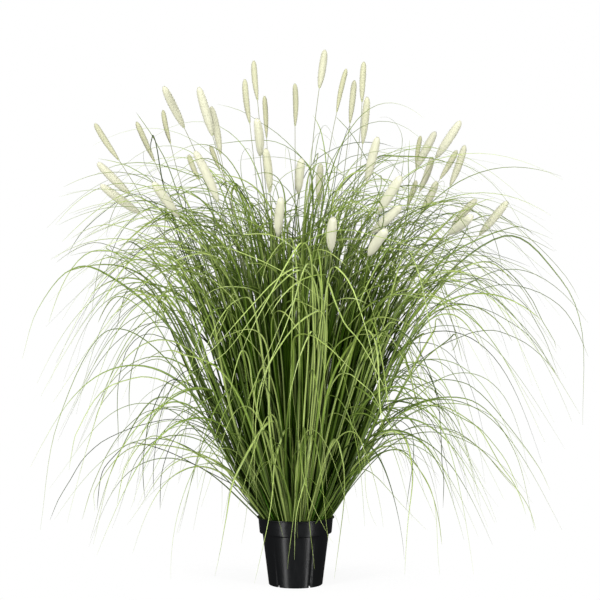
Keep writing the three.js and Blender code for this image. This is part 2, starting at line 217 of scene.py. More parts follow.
# Each plume: foot of the head in x, y, z, then its lean, the way it leans, length and girth.
plumes = [
    (-403, 90, 949, 35, 163, 105, 14),
    (-331, 190, 954, 25, 171, 105, 13),
    (-300, 260, 1004, 24, 124, 92, 12),
    (-243, -60, 1006, 33, -139, 102, 18),
    (-364, -40, 863, 47, -160, 98, 19),
    (-332, -130, 815, 55, -163, 104, 19),
    (-243, -200, 803, 46, -134, 100, 19),
    (-177, -130, 981, 22, -134, 108, 19),
    (-168, 20, 955, 11, 180, 110, 17),
    (-228, 210, 913, 43, 119, 88, 13),
    (-158, -260, 832, 29, -145, 116, 19),
    (-184, 290, 944, 42, 117, 84, 11),
    (-104, 60, 1030, 13, 121, 105, 14),
    (-89, 150, 1094, 18, 108, 101, 14),
    (-70, 250, 1017, 10, 108, 104, 12),
    (-75, -150, 936, 37, -96, 92, 19),
    (-2, 170, 1036, 14, 91, 106, 13),
    (-53, -210, 854, 29, -100, 100, 17),
    (-35, -280, 760, 38, -83, 96, 19),
    (6, -160, 856, 39, -83, 88, 19),
    (54, 130, 854, 22, 84, 102, 17),
    (72, -330, 729, 43, -87, 88, 20),
    (53, 50, 1108, 19, 65, 96, 17),
    (96, 200, 1072, 22, 57, 116, 12),
    (124, 110, 1036, 16, 67, 106, 14),
    (149, 40, 1075, 15, 78, 98, 14),
    (146, -70, 970, 20, -76, 104, 16),
    (150, -170, 880, 28, -63, 102, 19),
    (287, 250, 943, 26, 71, 92, 11),
    (277, 100, 934, 29, 18, 95, 19),
    (306, -60, 940, 38, -33, 98, 19),
    (290, 180, 885, 27, 41, 92, 16),
    (268, 290, 857, 41, 63, 86, 13),
    (339, 200, 915, 37, 36, 88, 14),
    (283, 60, 825, 29, 25, 86, 17),
    (354, 110, 892, 22, 22, 102, 17),
    (173, -230, 812, 44, -51, 98, 21),
    (161, -150, 772, 53, -34, 92, 20),
    (149, -300, 721, 58, -66, 92, 21),
    (348, 10, 793, 45, 25, 90, 17),
    (325, -170, 770, 67, -60, 88, 20),
    (400, -70, 772, 42, -26, 96, 18),
]

# The blades that the photograph shows one by one, as the points that they pass after the crown.
seenBlades = [
    [(-42, -90, 370), (-121, -200, 270), (-147, -228, 174), (-167, -262, 64)],
    [(-10, -80, 352), (-42, -140, 293), (-57, -180, 190), (-80, -215, 40)],
    [(34, -90, 342), (24, -135, 251), (5, -160, 173), (-9, -180, 85)],
    [(8, -70, 363), (3, -115, 260), (-3, -140, 149), (-9, -152, 58)],
    [(76, -112, 326), (96, -150, 300), (102, -180, 225), (96, -178, 130), (90, -182, 42)],
    [(-97, -14, 196), (-200, -28, 286), (-351, -50, 310), (-437, -62, 224), (-441, -64, 169)],
    [(-130, -6, 300), (-270, -14, 560), (-420, -20, 690), (-502, -20, 695), (-569, -22, 606),
     (-598, -24, 500)],
    [(-140, -26, 270), (-280, -52, 500), (-413, -75, 561), (-513, -92, 361), (-547, -98, 135)],
    [(-95, 32, 205), (-200, 68, 350), (-324, 110, 406), (-424, 145, 250), (-477, 160, 75)],
    [(-100, -33, 230), (-190, -62, 370), (-280, -92, 406), (-380, -125, 295), (-430, -138, 109)],
    [(110, 5, 300), (270, 14, 610), (464, 22, 772), (587, 28, 683), (640, 30, 561), (642, 30, 350)],
    [(85, -40, 200), (140, -66, 280), (211, -100, 310), (293, -148, 222), (311, -168, 52)],
    [(90, -36, 220), (160, -63, 320), (226, -90, 340), (252, -100, 260), (246, -100, 150), (242, -102, 40)],
    [(100, 6, 220), (230, 14, 380), (387, 25, 406), (487, 30, 295), (536, 34, 114)],
    [(120, 24, 500), (215, 44, 832), (251, 52, 984)],
]

seenTints = [0.95, 0.95, 0.95, 0.95, 0.95, 0.85, 0.5, 0.6, 0.6, 0.8, 0.3, 0.85, 0.9, 0.6, 0.3]

# Bright blades that rise over the front of the clump and fall before it, as the points that they pass.
frontBlades = [
    [(34, -200, 478), (41, -245, 585), (36, -280, 668), (8, -303, 697), (-41, -315, 669), (-105, -328, 600),
     (-165, -332, 532), (-219, -332, 484)],
    [(47, -205, 478), (50, -245, 590), (38, -285, 672), (4, -302, 690), (-41, -315, 653), (-88, -325, 593),
     (-142, -332, 523), (-195, -335, 494)],
    [(55, -215, 506), (55, -265, 630), (44, -288, 690), (26, -300, 704), (12, -308, 678), (-4, -318, 622),
     (-28, -328, 556), (-57, -335, 494), (-76, -338, 440)],
    [(60, -205, 484), (64, -250, 592), (66, -283, 664), (80, -300, 629), (100, -308, 583), (128, -315, 550),
     (152, -322, 510), (180, -328, 452), (196, -328, 408)],
    [(53, -235, 548), (62, -272, 640), (74, -294, 696), (96, -306, 685), (117, -314, 650), (137, -322, 590),
     (153, -328, 530), (163, -331, 470), (172, -332, 406)],
    [(56, -195, 442), (62, -235, 537), (56, -262, 604), (26, -275, 598), (-7, -289, 570), (-35, -298, 531),
     (-57, -304, 490), (-68, -307, 440), (-74, -307, 400)],
    [(41, -180, 420), (48, -225, 526), (36, -247, 566), (22, -258, 546), (8, -267, 510), (-4, -273, 468),
     (-16, -276, 415)],
    [(-60, -180, 440), (-75, -225, 560), (-93, -262, 632), (-125, -278, 627), (-152, -287, 595),
     (-173, -293, 553), (-187, -296, 515), (-197, -297, 470)],
    [(-83, -175, 409), (-96, -217, 502), (-109, -240, 527), (-121, -249, 499), (-130, -253, 462),
     (-138, -255, 410)],
    [(38, -190, 450), (36, -260, 610), (32, -305, 715), (14, -328, 746), (-14, -340, 708), (-46, -350, 648),
     (-77, -356, 592), (-98, -360, 548), (-108, -361, 520)],
    [(8, -200, 480), (6, -265, 640), (-4, -312, 745), (-24, -330, 748), (-48, -338, 720), (-62, -343, 690),
     (-69, -346, 650)],
    [(112, -150, 418), (136, -185, 500), (166, -208, 557), (192, -219, 559), (213, -225, 529),
     (231, -229, 494), (244, -231, 450), (252, -232, 400)],
    [(126, -150, 450), (161, -180, 525), (196, -201, 582), (222, -213, 571), (242, -221, 533),
     (262, -226, 492), (276, -229, 445), (285, -230, 395)],
    [(174, -180, 546), (201, -220, 651), (226, -255, 731), (247, -268, 702), (263, -276, 642),
     (274, -281, 578), (284, -284, 536), (299, -286, 496), (307, -288, 450)],
    [(62, -160, 398), (86, -188, 468), (112, -199, 476), (137, -205, 457), (160, -209, 436),
     (182, -211, 396)],
]

camera = {"place": (0.0096, -3.4, 0.6305), "focal": 91.8, "sensor": 36, "pixels": 600}

# Other blades that stand alone against the white, traced: tint, slimness and taper, how far behind the
# pot's axis the tip is in millimetres, then the columns and rows of the photograph that the blade passes.
tracedBlades = [
    (0.1, 0.8, 0.35, 60, [(262, 440), (228, 370), (200, 300), (180, 240), (170, 207), (163.4, 184),
        (160.7, 170), (158.5, 155.7), (156.3, 143.2), (153.4, 135.2), (151.6, 138.5), (150.4, 145),
        (150.3, 152)]),
    (0.5, 0.55, 0.5, 110, [(268, 440), (240, 370), (213, 300), (193, 240), (177.7, 193), (167, 163),
        (157, 144), (150.5, 132.5), (141, 119), (136, 112)]),
    (0.1, 0.85, 0.4, 90, [(285, 430), (278, 360), (270, 290), (262, 245), (252.7, 216.4), (249, 205.7),
        (243.8, 195), (234.8, 183), (228, 181), (222, 184.5), (218.8, 190)]),
    (0.2, 0.8, 0.4, 80, [(288, 430), (282, 360), (273, 290), (263, 240), (255, 212), (246, 195),
        (238, 184.5), (232, 183), (227.5, 191.4), (224, 202), (221.4, 214)]),
    (0.45, 0.9, 0.4, 95, [(283, 430), (275, 360), (266, 290), (258, 240), (250, 210), (243, 196),
        (236.5, 184.5), (233.5, 188), (231, 200)]),
    (0.12, 0.7, 0.4, 40, [(270, 430), (240, 360), (215, 300), (198, 255), (188.5, 225), (186, 205),
        (184, 192.3), (180.8, 186), (178.6, 190), (177.5, 197)]),
    (0.97, 0.8, 0.45, -60, [(272, 440), (245, 390), (222, 335), (203, 285), (190, 252), (176, 241.5),
        (158, 244.4), (145.7, 249.3), (135, 256.4), (124, 268), (117, 278), (108, 293), (101, 309)]),
    (0.97, 0.4, 0.5, -90, [(270, 440), (243, 390), (220, 338), (203, 295), (190, 268), (176, 254),
        (160, 252), (147, 257), (135, 266), (122, 280), (112, 294), (104, 310)]),
    (0.5, 0.55, 0.5, -10, [(262, 440), (232, 370), (207, 310), (190, 265), (177, 225), (165, 198),
        (154.5, 183.4), (147.3, 177), (135.7, 170), (125, 164.6), (112, 161), (98, 158.5)]),
    (0.45, 0.45, 0.5, 50, [(266, 440), (245, 370), (228, 305), (217, 250), (212, 205), (203.6, 179),
        (193, 175.4), (178.6, 170.4), (165.2, 166), (152, 163.3), (136, 162.4), (122, 164), (108, 168),
        (95, 175)]),
    (0.05, 0.35, 0.4, 30, [(262, 440), (230, 370), (202, 305), (183, 255), (168, 222), (155, 203),
        (140, 194), (125, 197), (110, 207), (95, 219), (82, 232), (73, 245), (67, 257)]),
    (0.05, 0.35, 0.4, -30, [(266, 440), (238, 375), (213, 312), (195, 262), (180, 230), (167, 213),
        (154, 207), (140.4, 212.7), (130.5, 220.7), (121.6, 231.4), (115.4, 243), (111.8, 253),
        (108.7, 263.6), (106.4, 274.3)]),
    (0.4, 0.35, 0.5, 150, [(306, 430), (310, 360), (312, 290), (313, 230), (312, 190), (311, 172),
        (308.6, 165.5), (302.3, 158.4), (294.3, 149.5), (284.5, 139.6), (273, 130), (261, 122.5),
        (245, 112.5), (230, 107), (217, 104)]),
    (0.3, 0.35, 0.5, 170, [(304, 430), (308, 360), (311, 290), (313, 230), (313, 190), (310.4, 171),
        (305, 162), (298, 154), (290.7, 148.6), (281.8, 144), (271, 140.8), (255, 140.4), (237.5, 141.4),
        (224, 143.4), (212, 144.5), (200, 148)]),
    (0.5, 0.5, 0.5, 80, [(312, 430), (318, 360), (325, 290), (328.5, 240), (329, 205), (328.2, 182),
        (326.4, 166), (324.6, 149.5), (321, 131.6), (317, 122), (313, 115)]),
    (0.15, 0.5, 0.5, 60, [(318, 430), (338, 360), (360, 290), (374, 240), (380, 205), (376.5, 187),
        (372.5, 174.5), (366.6, 160), (357.7, 144), (349.6, 131.6), (339, 120), (335.5, 116.5)]),
    (0.12, 0.42, 0.5, 140, [(297, 430), (293, 360), (290, 290), (293, 230), (300, 190), (306, 172.7),
        (317.5, 158.4), (331, 150.4), (344.3, 145), (357.7, 142.3), (370, 142.3), (382, 143.5), (394, 147)]),
    (0.15, 0.7, 0.4, 40, [(312, 430), (313, 360), (316, 290), (321, 235), (329, 199), (340, 188),
        (349, 178), (358, 170), (367, 163.8), (376.4, 157.7), (384.5, 155.3), (396, 156.3), (412, 156.3),
        (430, 158), (443, 161), (452, 164.5)]),
    (0.3, 0.7, 0.4, 60, [(310, 430), (311, 360), (314, 290), (322, 240), (332, 205), (343, 192), (352, 182),
        (361, 173.5), (370, 166.5), (380, 161.5), (391, 160), (403, 161)]),
    (0.2, 0.5, 0.4, 60, [(330, 430), (352, 370), (378, 310), (396, 260), (405, 225), (408, 203),
        (408.4, 190), (408.7, 177), (408, 161), (409, 150), (409.6, 140)]),
    (0.25, 0.7, 0.3, -20, [(332, 440), (355, 390), (380, 345), (408, 310), (427, 291), (440.4, 270.5),
        (447.5, 258), (456.4, 247.3), (463.6, 234.8), (467, 228.6), (468.5, 223.2)]),
    (0.9, 0.8, 0.4, -40, [(330, 440), (350, 390), (375, 345), (400, 315), (420, 292), (435, 266),
        (442, 251), (446.6, 237.5), (449.3, 229)]),
    (0.85, 0.6, 0.4, -60, [(334, 440), (360, 390), (390, 345), (418, 312), (436, 289), (443, 280),
        (451, 272.5), (457, 266.5), (460.3, 268.5), (461.3, 275), (460, 283), (458, 292)]),
    (0.3, 0.55, 0.5, 20, [(335, 440), (362, 390), (395, 335), (425, 285), (445, 256), (456, 246.5),
        (465.4, 245.4), (482.3, 254.3), (495.7, 262.3), (506.4, 269.5), (517, 279.3), (524.3, 288.2),
        (534, 302.5), (540.4, 317), (547.5, 329.3), (554, 340), (556.4, 349)]),
    (0.4, 0.4, 0.5, 20, [(325, 455), (350, 410), (385, 360), (415, 325), (440, 302), (460, 289),
        (477.9, 278.4), (495.7, 270.8), (511, 269), (522.5, 270), (536, 274.4), (549.3, 282),
        (562.7, 292.7), (576, 307), (588, 323)]),
    (0.3, 0.5, 0.5, -20, [(325, 460), (348, 422), (380, 375), (412, 337), (440, 311), (460, 299.4),
        (477.9, 290), (495.7, 285), (509, 284.4), (522.5, 286.6), (540.4, 292.7), (556.4, 302.5),
        (567, 313), (576, 327.5), (583.2, 343.6), (588.3, 357)]),
    (0.3, 0.35, 0.5, 60, [(322, 440), (345, 385), (372, 320), (400, 262), (425, 220), (445, 206),
        (465, 203), (485, 206), (503, 216), (520, 229), (534, 242), (549.3, 257), (565.4, 275.7),
        (574, 289), (579, 299.4)]),
    (0.2, 0.45, 0.5, 40, [(328, 450), (355, 395), (385, 340), (415, 302), (440, 284), (460, 279.3),
        (482.3, 278), (495.7, 282), (504.6, 287.3), (517, 297), (528, 308), (536, 322), (544.8, 338),
        (551, 354), (558, 374)]),
    (0.6, 0.4, 0.5, 0, [(328, 450), (358, 385), (388, 330), (415, 296), (440, 284), (460, 286.4),
        (478, 291), (495.7, 299), (513.6, 316), (528, 331), (540.4, 347), (549.3, 364), (559, 379),
        (580, 414)]),
    (0.35, 0.4, 0.5, -40, [(325, 465), (345, 425), (375, 370), (405, 330), (432, 307), (455, 303),
        (474.3, 306), (491.3, 311.4), (504.6, 318.6), (522.5, 330), (536, 343.6), (549.3, 362),
        (558, 376.6)]),
    (0.2, 0.45, 0.5, -60, [(328, 465), (352, 430), (385, 392), (415, 364), (440, 346), (460, 337),
        (473.4, 332), (491.3, 330), (504.6, 333), (522.5, 341), (536, 350.7), (549.3, 364), (560, 379)]),
    (0.45, 0.5, 0.5, -70, [(330, 470), (352, 440), (385, 408), (415, 388), (440, 379.5), (462.3, 382),
        (475.7, 389.3), (490, 402.7), (502.5, 418), (516, 435), (529.3, 452.7), (541, 470.5), (550, 490)]),
    (0.7, 0.5, 0.5, -100, [(338, 470), (365, 435), (395, 412), (415, 405), (440, 407), (453.4, 413.4),
        (466.8, 420.5), (480.2, 428.6), (493.6, 443.8), (506, 460.7), (515, 480.4), (518.6, 490)]),
    (0.7, 0.45, 0.5, -110, [(340, 480), (370, 452), (400, 432), (425, 424), (442.7, 427.7), (458, 432),
        (475.7, 444.6), (489, 457), (502.5, 474), (516, 490)]),
    (0.12, 0.55, 0.4, -60, [(288, 505), (250, 492), (225, 480), (200, 467), (170, 452), (140, 443),
        (126, 445), (114, 456), (104, 468), (100, 480), (98, 496), (97, 510)]),
    (0.9, 0.55, 0.4, -90, [(288, 503), (250, 482), (225, 469), (200, 456), (180, 444), (158, 436),
        (146, 439), (134, 452), (124, 470), (120, 488), (117, 505)]),
    (0.85, 0.5, 0.4, -30, [(286, 500), (265, 460), (240, 430), (216, 409), (196, 398), (180, 389),
        (164, 381), (148, 377), (134, 378), (110, 386), (96, 398), (86, 414), (79, 428), (74, 440),
        (69, 470)]),
    (0.9, 0.5, 0.4, 20, [(284, 500), (258, 455), (232, 422), (208, 400), (190, 384), (176, 368), (160, 359),
        (144, 362), (128, 372), (114, 388), (100, 406), (94, 424)]),
    (0.5, 0.5, 0.4, -50, [(287, 502), (262, 468), (236, 443), (215, 428), (200, 420), (186, 412),
        (172, 409), (156, 409), (140, 415), (120, 434), (108, 452), (100, 468), (90, 492), (82, 520)]),
    (0.12, 0.5, 0.4, 10, [(286, 502), (262, 472), (238, 449), (218, 434), (200, 426), (184, 420),
        (168, 419), (148, 423), (128, 429), (108, 438), (96, 446), (82, 460), (70, 480), (58, 500),
        (50, 520)]),
    (0.1, 0.5, 0.4, -80, [(285, 500), (255, 452), (225, 415), (200, 392), (180, 380), (168, 382),
        (159, 395), (152, 412), (148, 424), (145, 444), (143, 460), (143, 480), (145, 500)]),
    (0.1, 0.5, 0.4, -50, [(284, 500), (256, 445), (228, 402), (205, 377), (190, 370), (178, 377),
        (168, 394), (160, 416), (156, 440), (153, 470), (154, 492)]),
    (0.12, 0.55, 0.4, -110, [(288, 503), (262, 477), (238, 456), (216, 440), (200, 431), (190, 428),
        (180, 431), (172, 442), (166, 456), (161, 476), (160, 496), (160, 510)]),
    (0.15, 0.5, 0.4, 40, [(282, 495), (250, 430), (218, 380), (190, 345), (168, 328), (152, 328),
        (142, 340), (134, 360), (130, 380), (129, 400), (130, 416)]),
    (0.15, 0.5, 0.4, 0, [(282, 495), (248, 432), (214, 385), (184, 352), (160, 336), (142, 335), (128, 348),
        (122, 364), (118, 384), (117, 406), (118, 428), (118, 448)]),
    (0.1, 0.5, 0.4, -120, [(330, 505), (350, 470), (368, 440), (384, 424), (398, 420), (408, 426),
        (412, 434), (414, 446), (413, 464), (410, 484), (406, 510)]),
    (0.8, 0.6, 0.3, -140, [(332, 505), (352, 480), (370, 461), (386, 451), (400, 450), (410, 456),
        (420, 470), (430, 488), (436, 506), (440, 526), (442, 545)]),
    (0.85, 0.5, 0.4, -60, [(332, 503), (356, 471), (380, 446), (400, 432), (420, 426), (440, 428),
        (456, 433), (472, 442), (488, 456), (504, 474), (520, 493), (530, 510), (536, 530)]),
    (0.9, 0.55, 0.4, -90, [(330, 502), (356, 462), (382, 430), (406, 411), (430, 405), (448, 408),
        (466, 418), (480, 430), (490, 446), (500, 464), (512, 480), (520, 496), (526, 514)]),
    (0.1, 0.5, 0.4, -100, [(328, 500), (352, 446), (376, 402), (400, 373), (418, 365), (430, 376),
        (438, 400), (441, 430), (442, 460), (444, 480), (443, 508)]),
]


def draw(number, purpose):
    # Repeatable draw between 0 and 1: the fractional part of a large multiple of a sine.
    value = np.sin(number * 127.1 + purpose * 311.7) * 43758.5453
    return value - np.floor(value)


def unit(vectors):
    return vectors / np.linalg.norm(vectors, axis=-1, keepdims=True)


def wedgeMiddle(index):
    return tufts["first"] + (index + 0.5) * wedge


def wedgeOf(point):
    turn = math.atan2(point[1], point[0]) - tufts["first"] + 4 * math.pi
    return int(turn // wedge) % tufts["count"]


def fromMiddle(points, index):
    turn = np.arctan2(points[..., 1], points[..., 0]) - wedgeMiddle(index)
    return np.arctan2(np.sin(turn), np.cos(turn))


def makeHeads():
    heads = []
    for x, y, z, lean, towards, length, girth in plumes:
        side = math.sin(math.radians(lean))
        turn = math.radians(towards)
        along = np.array([side * math.cos(turn), side * math.sin(turn), math.cos(math.radians(lean))])
        foot = np.array([x, y, z], float)
        heads.append({"foot": foot, "along": along, "length": length, "girth": girth})
    return heads


heads = makeHeads()
headFeet = np.array([head["foot"] for head in heads])
headAlong = np.array([head["along"] for head in heads])
headLength = np.array([head["length"] for head in heads], float)
headGirth = np.array([head["girth"] for head in heads], float)


def catmullRom(points, shares):
    # Uniform Catmull-Rom curve: a cubic between two points, each slope half the chord of its neighbours.
    ends = np.vstack([2 * points[0] - points[1], points, 2 * points[-1] - points[-2]])
    place = np.clip(np.asarray(shares, float), 0, 1) * (len(points) - 1)
    index = np.minimum(place.astype(int), len(points) - 2)
    part = (place - index)[:, None]
    before, start, finish, after = (ends[index + offset] for offset in range(4))
    slopeStart = (finish - before) / 2
    slopeFinish = (after - start) / 2
    third = 2 * start - 2 * finish + slopeStart + slopeFinish
    second = -3 * start + 3 * finish - 2 * slopeStart - slopeFinish
    return third * part ** 3 + second * part ** 2 + slopeStart * part + start


def widthAt(share, taper=blade["taper"]):
    share = np.asarray(share, float)
    return blade["width"] * np.minimum(1, 0.4 + 4 * share) * (1 - share) ** taper + blade["tip"]


def shapeTraits(traits, number, outward, short):
    # Lean, length, crest, droop and tightness of a blade, drawn from its number.
    if short:
        traits["lean"] = 6 + 21 * outward ** 2 + 8 * (draw(number, 4) - 0.5)
        traits["length"] = 560 + 340 * draw(number, 5)
        traits["crest"] = 0.56 + 0.14 * (draw(number, 6) - 0.5)
        traits["droop"] = 148 + 22 * draw(number, 7)
        traits["tight"] = 9 + 7 * draw(number, 8)
    else:
        traits["lean"] = 1 + 22 * outward ** 1.5 + 8 * (draw(number, 4) - 0.5)
        traits["length"] = 1165 - 120 * outward + 210 * (draw(number, 5) - 0.5)
        traits["crest"] = 0.76 - 0.13 * outward + 0.2 * (draw(number, 6) - 0.5)
        traits["droop"] = 132 + 36 * draw(number, 7) * (0.4 + 0.6 * outward)
        traits["tight"] = 8 + 8 * draw(number, 8)
    traits["lean"] = max(traits["lean"], 1)


def bladeTraits(tuft, place, attempt):
    number = tuft * 100 + place + attempt * 1300
    outward = math.sqrt((place + draw(number, 1)) / blade["perTuft"])
    root = tufts["innerRoot"] + (tufts["outerRoot"] - tufts["innerRoot"]) * outward
    side = 2 * draw(number, 2) - 1
    sway = 0.55 * side + 0.45 * (2 * draw(number, 3) - 1)
    traits = {
        "root": root,
        "start": wedgeMiddle(tuft) + side * (wedge / 2 - tufts["rootRoom"] / root),
        "finish": wedgeMiddle(tuft) + sway * (wedge / 2 - 0.02),
        "roll": math.radians(-75 + 150 * draw(number, 10)),
    }
    shapeTraits(traits, number, outward, draw(tuft * 100 + place, 9) < blade["shortShare"])
    return traits


def steepness(traits, share):
    # Angle from upright: lean + (droop - lean) / (1 + exp(-tight (share - crest))), and a flare by the root.
    over = traits["droop"] - traits["lean"]
    bend = over / (1 + np.exp(-traits["tight"] * (share - traits["crest"])))
    return np.radians(traits["lean"] + bend + traits.get("flare", 0) * np.exp(-share / 0.14))


def bladeLine(traits, steps):
    # Centre line that follows the steepness outwards, while its turn goes evenly from start to finish.
    share = np.arange(steps + 1) / steps
    angle = steepness(traits, share[:-1] + 0.5 / steps)
    step = traits["length"] / steps
    radius = traits["root"] + np.concatenate([[0], np.cumsum(np.sin(angle) * step)])
    height = tufts["rootHeight"] + np.concatenate([[0], np.cumsum(np.cos(angle) * step)])
    turn = traits["start"] + (traits["finish"] - traits["start"]) * share
    return np.stack([radius * np.cos(turn), radius * np.sin(turn), height], -1)


def freeLine(traits, steps):
    # Centre line of the same steepness whose heading swings round by a smooth step as it nears the crest.
    share = np.arange(steps + 1) / steps
    middle = share[:-1] + 0.5 / steps
    angle = steepness(traits, middle)
    part = np.clip((middle - traits["crest"] + 0.13) / 0.2, 0, 1)
    heading = traits["start"] + (traits["finish"] - traits["start"]) * middle
    heading = heading + traits["swing"] * part ** 2 * (3 - 2 * part)
    step = traits["length"] / steps
    level = np.sin(angle)
    moves = np.stack([level * np.cos(heading), level * np.sin(heading), np.cos(angle)], -1) * step
    foot = np.array([math.cos(traits["start"]), math.sin(traits["start"])]) * traits["root"]
    root = np.append(foot, tufts["rootHeight"])
    return np.vstack([root, root + np.cumsum(moves, axis=0)])


def ringShares(crest, tight):
    bend = 2.1 / tight
    shares = [0, (crest - bend) / 2, crest - bend, crest - bend / 3, crest + bend / 3, crest + bend]
    shares.append((shares[-1] + 1) / 2)
    return [share for share in shares if share < 0.97] + [1]


def stretches(corners, shares, widthOf):
    # Places along the straight stretches between a CAD blade's rings, with half the width there.
    points = []
    halves = []
    for index in range(len(shares) - 1):
        steps = math.ceil(np.linalg.norm(corners[index + 1] - corners[index]) / blade["measure"])
        part = (np.arange(steps) / steps)[:, None]
        points.append(corners[index] + (corners[index + 1] - corners[index]) * part)
        halves.append(widthOf(shares[index] + (shares[index + 1] - shares[index]) * part[:, 0]) / 2)
    return np.vstack(points), np.concatenate(halves)


def clearOfHeads(points, halves, clearance):
    away = points[:, None] - headFeet
    along = np.clip((away * headAlong).sum(-1), -1, headLength + 1)
    distance = np.linalg.norm(away - headAlong * along[..., None], axis=-1)
    return bool((distance > headGirth / 2 + halves[:, None] + clearance).all())


def fits(points, halves, tuft):
    radius = np.hypot(points[:, 0], points[:, 1])
    room = wedge / 2 - (halves + blade["wedgeClearance"]) / radius
    inside = (np.abs(fromMiddle(points, tuft)) <= room) & (radius <= blade["reach"])
    inside &= points[:, 2] >= blade["lowest"]
    return bool(inside.all()) and clearOfHeads(points, halves, blade["headClearance"])


def treeOf(points):
    tree = KDTree(len(points))
    for index, point in enumerate(points):
        tree.insert(point, index)
    tree.balance()
    return tree


def apart(points, halves, tree):
    for point, half in zip(points, halves):
        if point[2] >= tufts["crownTop"] - 2 and tree.find(point)[2] <= half + blade["spacing"]:
            return False
    return True


def rootUnder(place, tuft, radius):
    room = wedge / 2 - tufts["rootRoom"] / radius
    turn = wedgeMiddle(tuft) + float(np.clip(fromMiddle(np.asarray(place, float), tuft), -room, room))
    return np.array([radius * math.cos(turn), radius * math.sin(turn), tufts["rootHeight"]])


def seenLines(tuft):
    # The tuft's seen blades as the points of the CAD, by their place in the list.
    found = {}
    for index, places in enumerate(seenBlades):
        if wedgeOf(places[-1]) == tuft:
            root = rootUnder(places[0], tuft, tufts["seenRoot"] + 4 * draw(index, 20))
            found[index] = np.vstack([root, np.array(places, float)])
    return found


def stemCurve(head, tuft):
    # Cubic curve from the crown to just under the head, which it meets along the head's own lean.
    outwardness = math.hypot(head["foot"][0], head["foot"][1])
    root = rootUnder(head["foot"], tuft, 18 + outwardness * 0.075)
    end = head["foot"] - head["along"] * stem["gap"]
    rise = end[2] - root[2]
    leave = root + np.array([(end[0] - root[0]) * 0.22, (end[1] - root[1]) * 0.22, rise * 0.4])
    arrive = end - head["along"] * rise * 0.3
    return root, leave, arrive, end


def bezier(controls, shares):
    share = np.asarray(shares, float)[:, None]
    rest = 1 - share
    first, second, third, fourth = controls
    early = rest ** 3 * first + 3 * rest ** 2 * share * second
    return early + 3 * rest * share ** 2 * third + share ** 3 * fourth


def cadBlades(tuft, stems):
    # The blades that the CAD tuft has, found by the same draws and the same tests.
    lines = seenLines(tuft).values()
    taken = [stretches(catmullRom(line, seenShares), seenShares, widthAt)[0] for line in lines]
    for controls in stems:
        corners = bezier(controls, stem["shares"])
        taken.append(stretches(corners, stem["shares"], lambda share: share * 0 + stem["side"])[0])
    places = [points[points[:, 2] > tufts["crownTop"] - 6] for points in taken]
    tree = treeOf(np.vstack(places)) if places else treeOf(np.zeros((1, 3)))
    found = []
    for place in range(blade["perTuft"]):
        for attempt in range(blade["attempts"]):
            traits = bladeTraits(tuft, place, attempt)
            line = bladeLine(traits, blade["steps"])
            shares = ringShares(traits["crest"], traits["tight"])
            points, halves = stretches(catmullRom(line, shares), shares, widthAt)
            if fits(points, halves, tuft) and apart(points, halves, tree):
                found.append((line, traits["roll"]))
                places.append(points[points[:, 2] > tufts["crownTop"] - 6])
                tree = treeOf(np.vstack(places))
                break
    return found


def tintOf(tuft, number):
    # Drawn shade of a blade from 0, dark, to 1, lime: paler on the left, where the photograph's clump is.
    return draw(number, 71) ** (0.72 + 0.1 * math.cos(wedgeMiddle(tuft)))


def extraCount(tuft):
    return round(extra["perTuft"] + extra["moreRight"] * math.cos(wedgeMiddle(tuft)))


def kindOf(tuft, place):
    # Upright and folded blades fill the core, crossing ones swing aside over its top, and the rest arch out,
    # spread low or rise high. The right has fewer crossing and more arching ones.
    chance = draw(tuft * 100 + place, 31)
    toRight = math.cos(wedgeMiddle(tuft))
    shortLimit = 0.85 + 0.045 * toRight
    limits = {"upright": 0.43, "folded": 0.5, "crossing": 0.67 - 0.09 * toRight,
              "arching": min(0.85, shortLimit), "short": shortLimit, "low": 0.965, "tall": 1}
    return next(name for name, limit in limits.items() if chance <= limit)


def drawn(span, number, purpose):
    return span[0] + (span[1] - span[0]) * draw(number, purpose)


def extraTraits(tuft, place, attempt):
    number = 20000 + tuft * 100 + place + attempt * 1300
    outward = ((place + draw(number, 1)) / extraCount(tuft)) ** extra["spread"]
    start = wedgeMiddle(tuft) + (2 * draw(number, 2) - 1) * wedge / 2
    side = 2 * draw(number, 3) - 1
    traits = {
        "number": number,
        "root": extra["innerRoot"] + (extra["outerRoot"] - extra["innerRoot"]) * outward,
        "start": start,
        "finish": start + side * 0.4,
        "swing": 0,
        "flare": extra["flare"] * outward ** 3,
        "roll": math.radians(-80 + 160 * draw(number, 10)),
        "taper": blade["taper"],
        "thinning": blade["thinning"],
        "tint": tintOf(tuft, number),
    }
    name = kindOf(tuft, place)
    if name in ("arching", "short"):
        shapeTraits(traits, number, outward, name == "short")
        traits["slim"] = drawn(arching["slim"], number, 11)
        traits["finish"] = start + side * arching["turn"]
        return traits
    kind = kinds[name]
    lean = kind["lean"] * outward ** kind["growth"] + kind["leanDraw"] * (draw(number, 4) - 0.5)
    traits["lean"] = max(0.5, lean)
    for purpose, trait in ((5, "length"), (6, "crest"), (7, "droop"), (8, "tight"), (11, "slim")):
        traits[trait] = drawn(kind[trait], number, purpose)
    traits["length"] -= kind.get("shorter", 0) * outward ** 2
    traits["swing"] = side * kind.get("swing", 0)
    traits["taper"] = kind.get("taper", blade["taper"])
    traits["thinning"] = kind.get("thinning", blade["thinning"])
    if name == "low":
        traits["root"] = drawn(kind["root"], number, 1)
    if name in ("upright", "folded"):
        traits["tint"] = 0.15 + 0.85 * traits["tint"]
    return traits


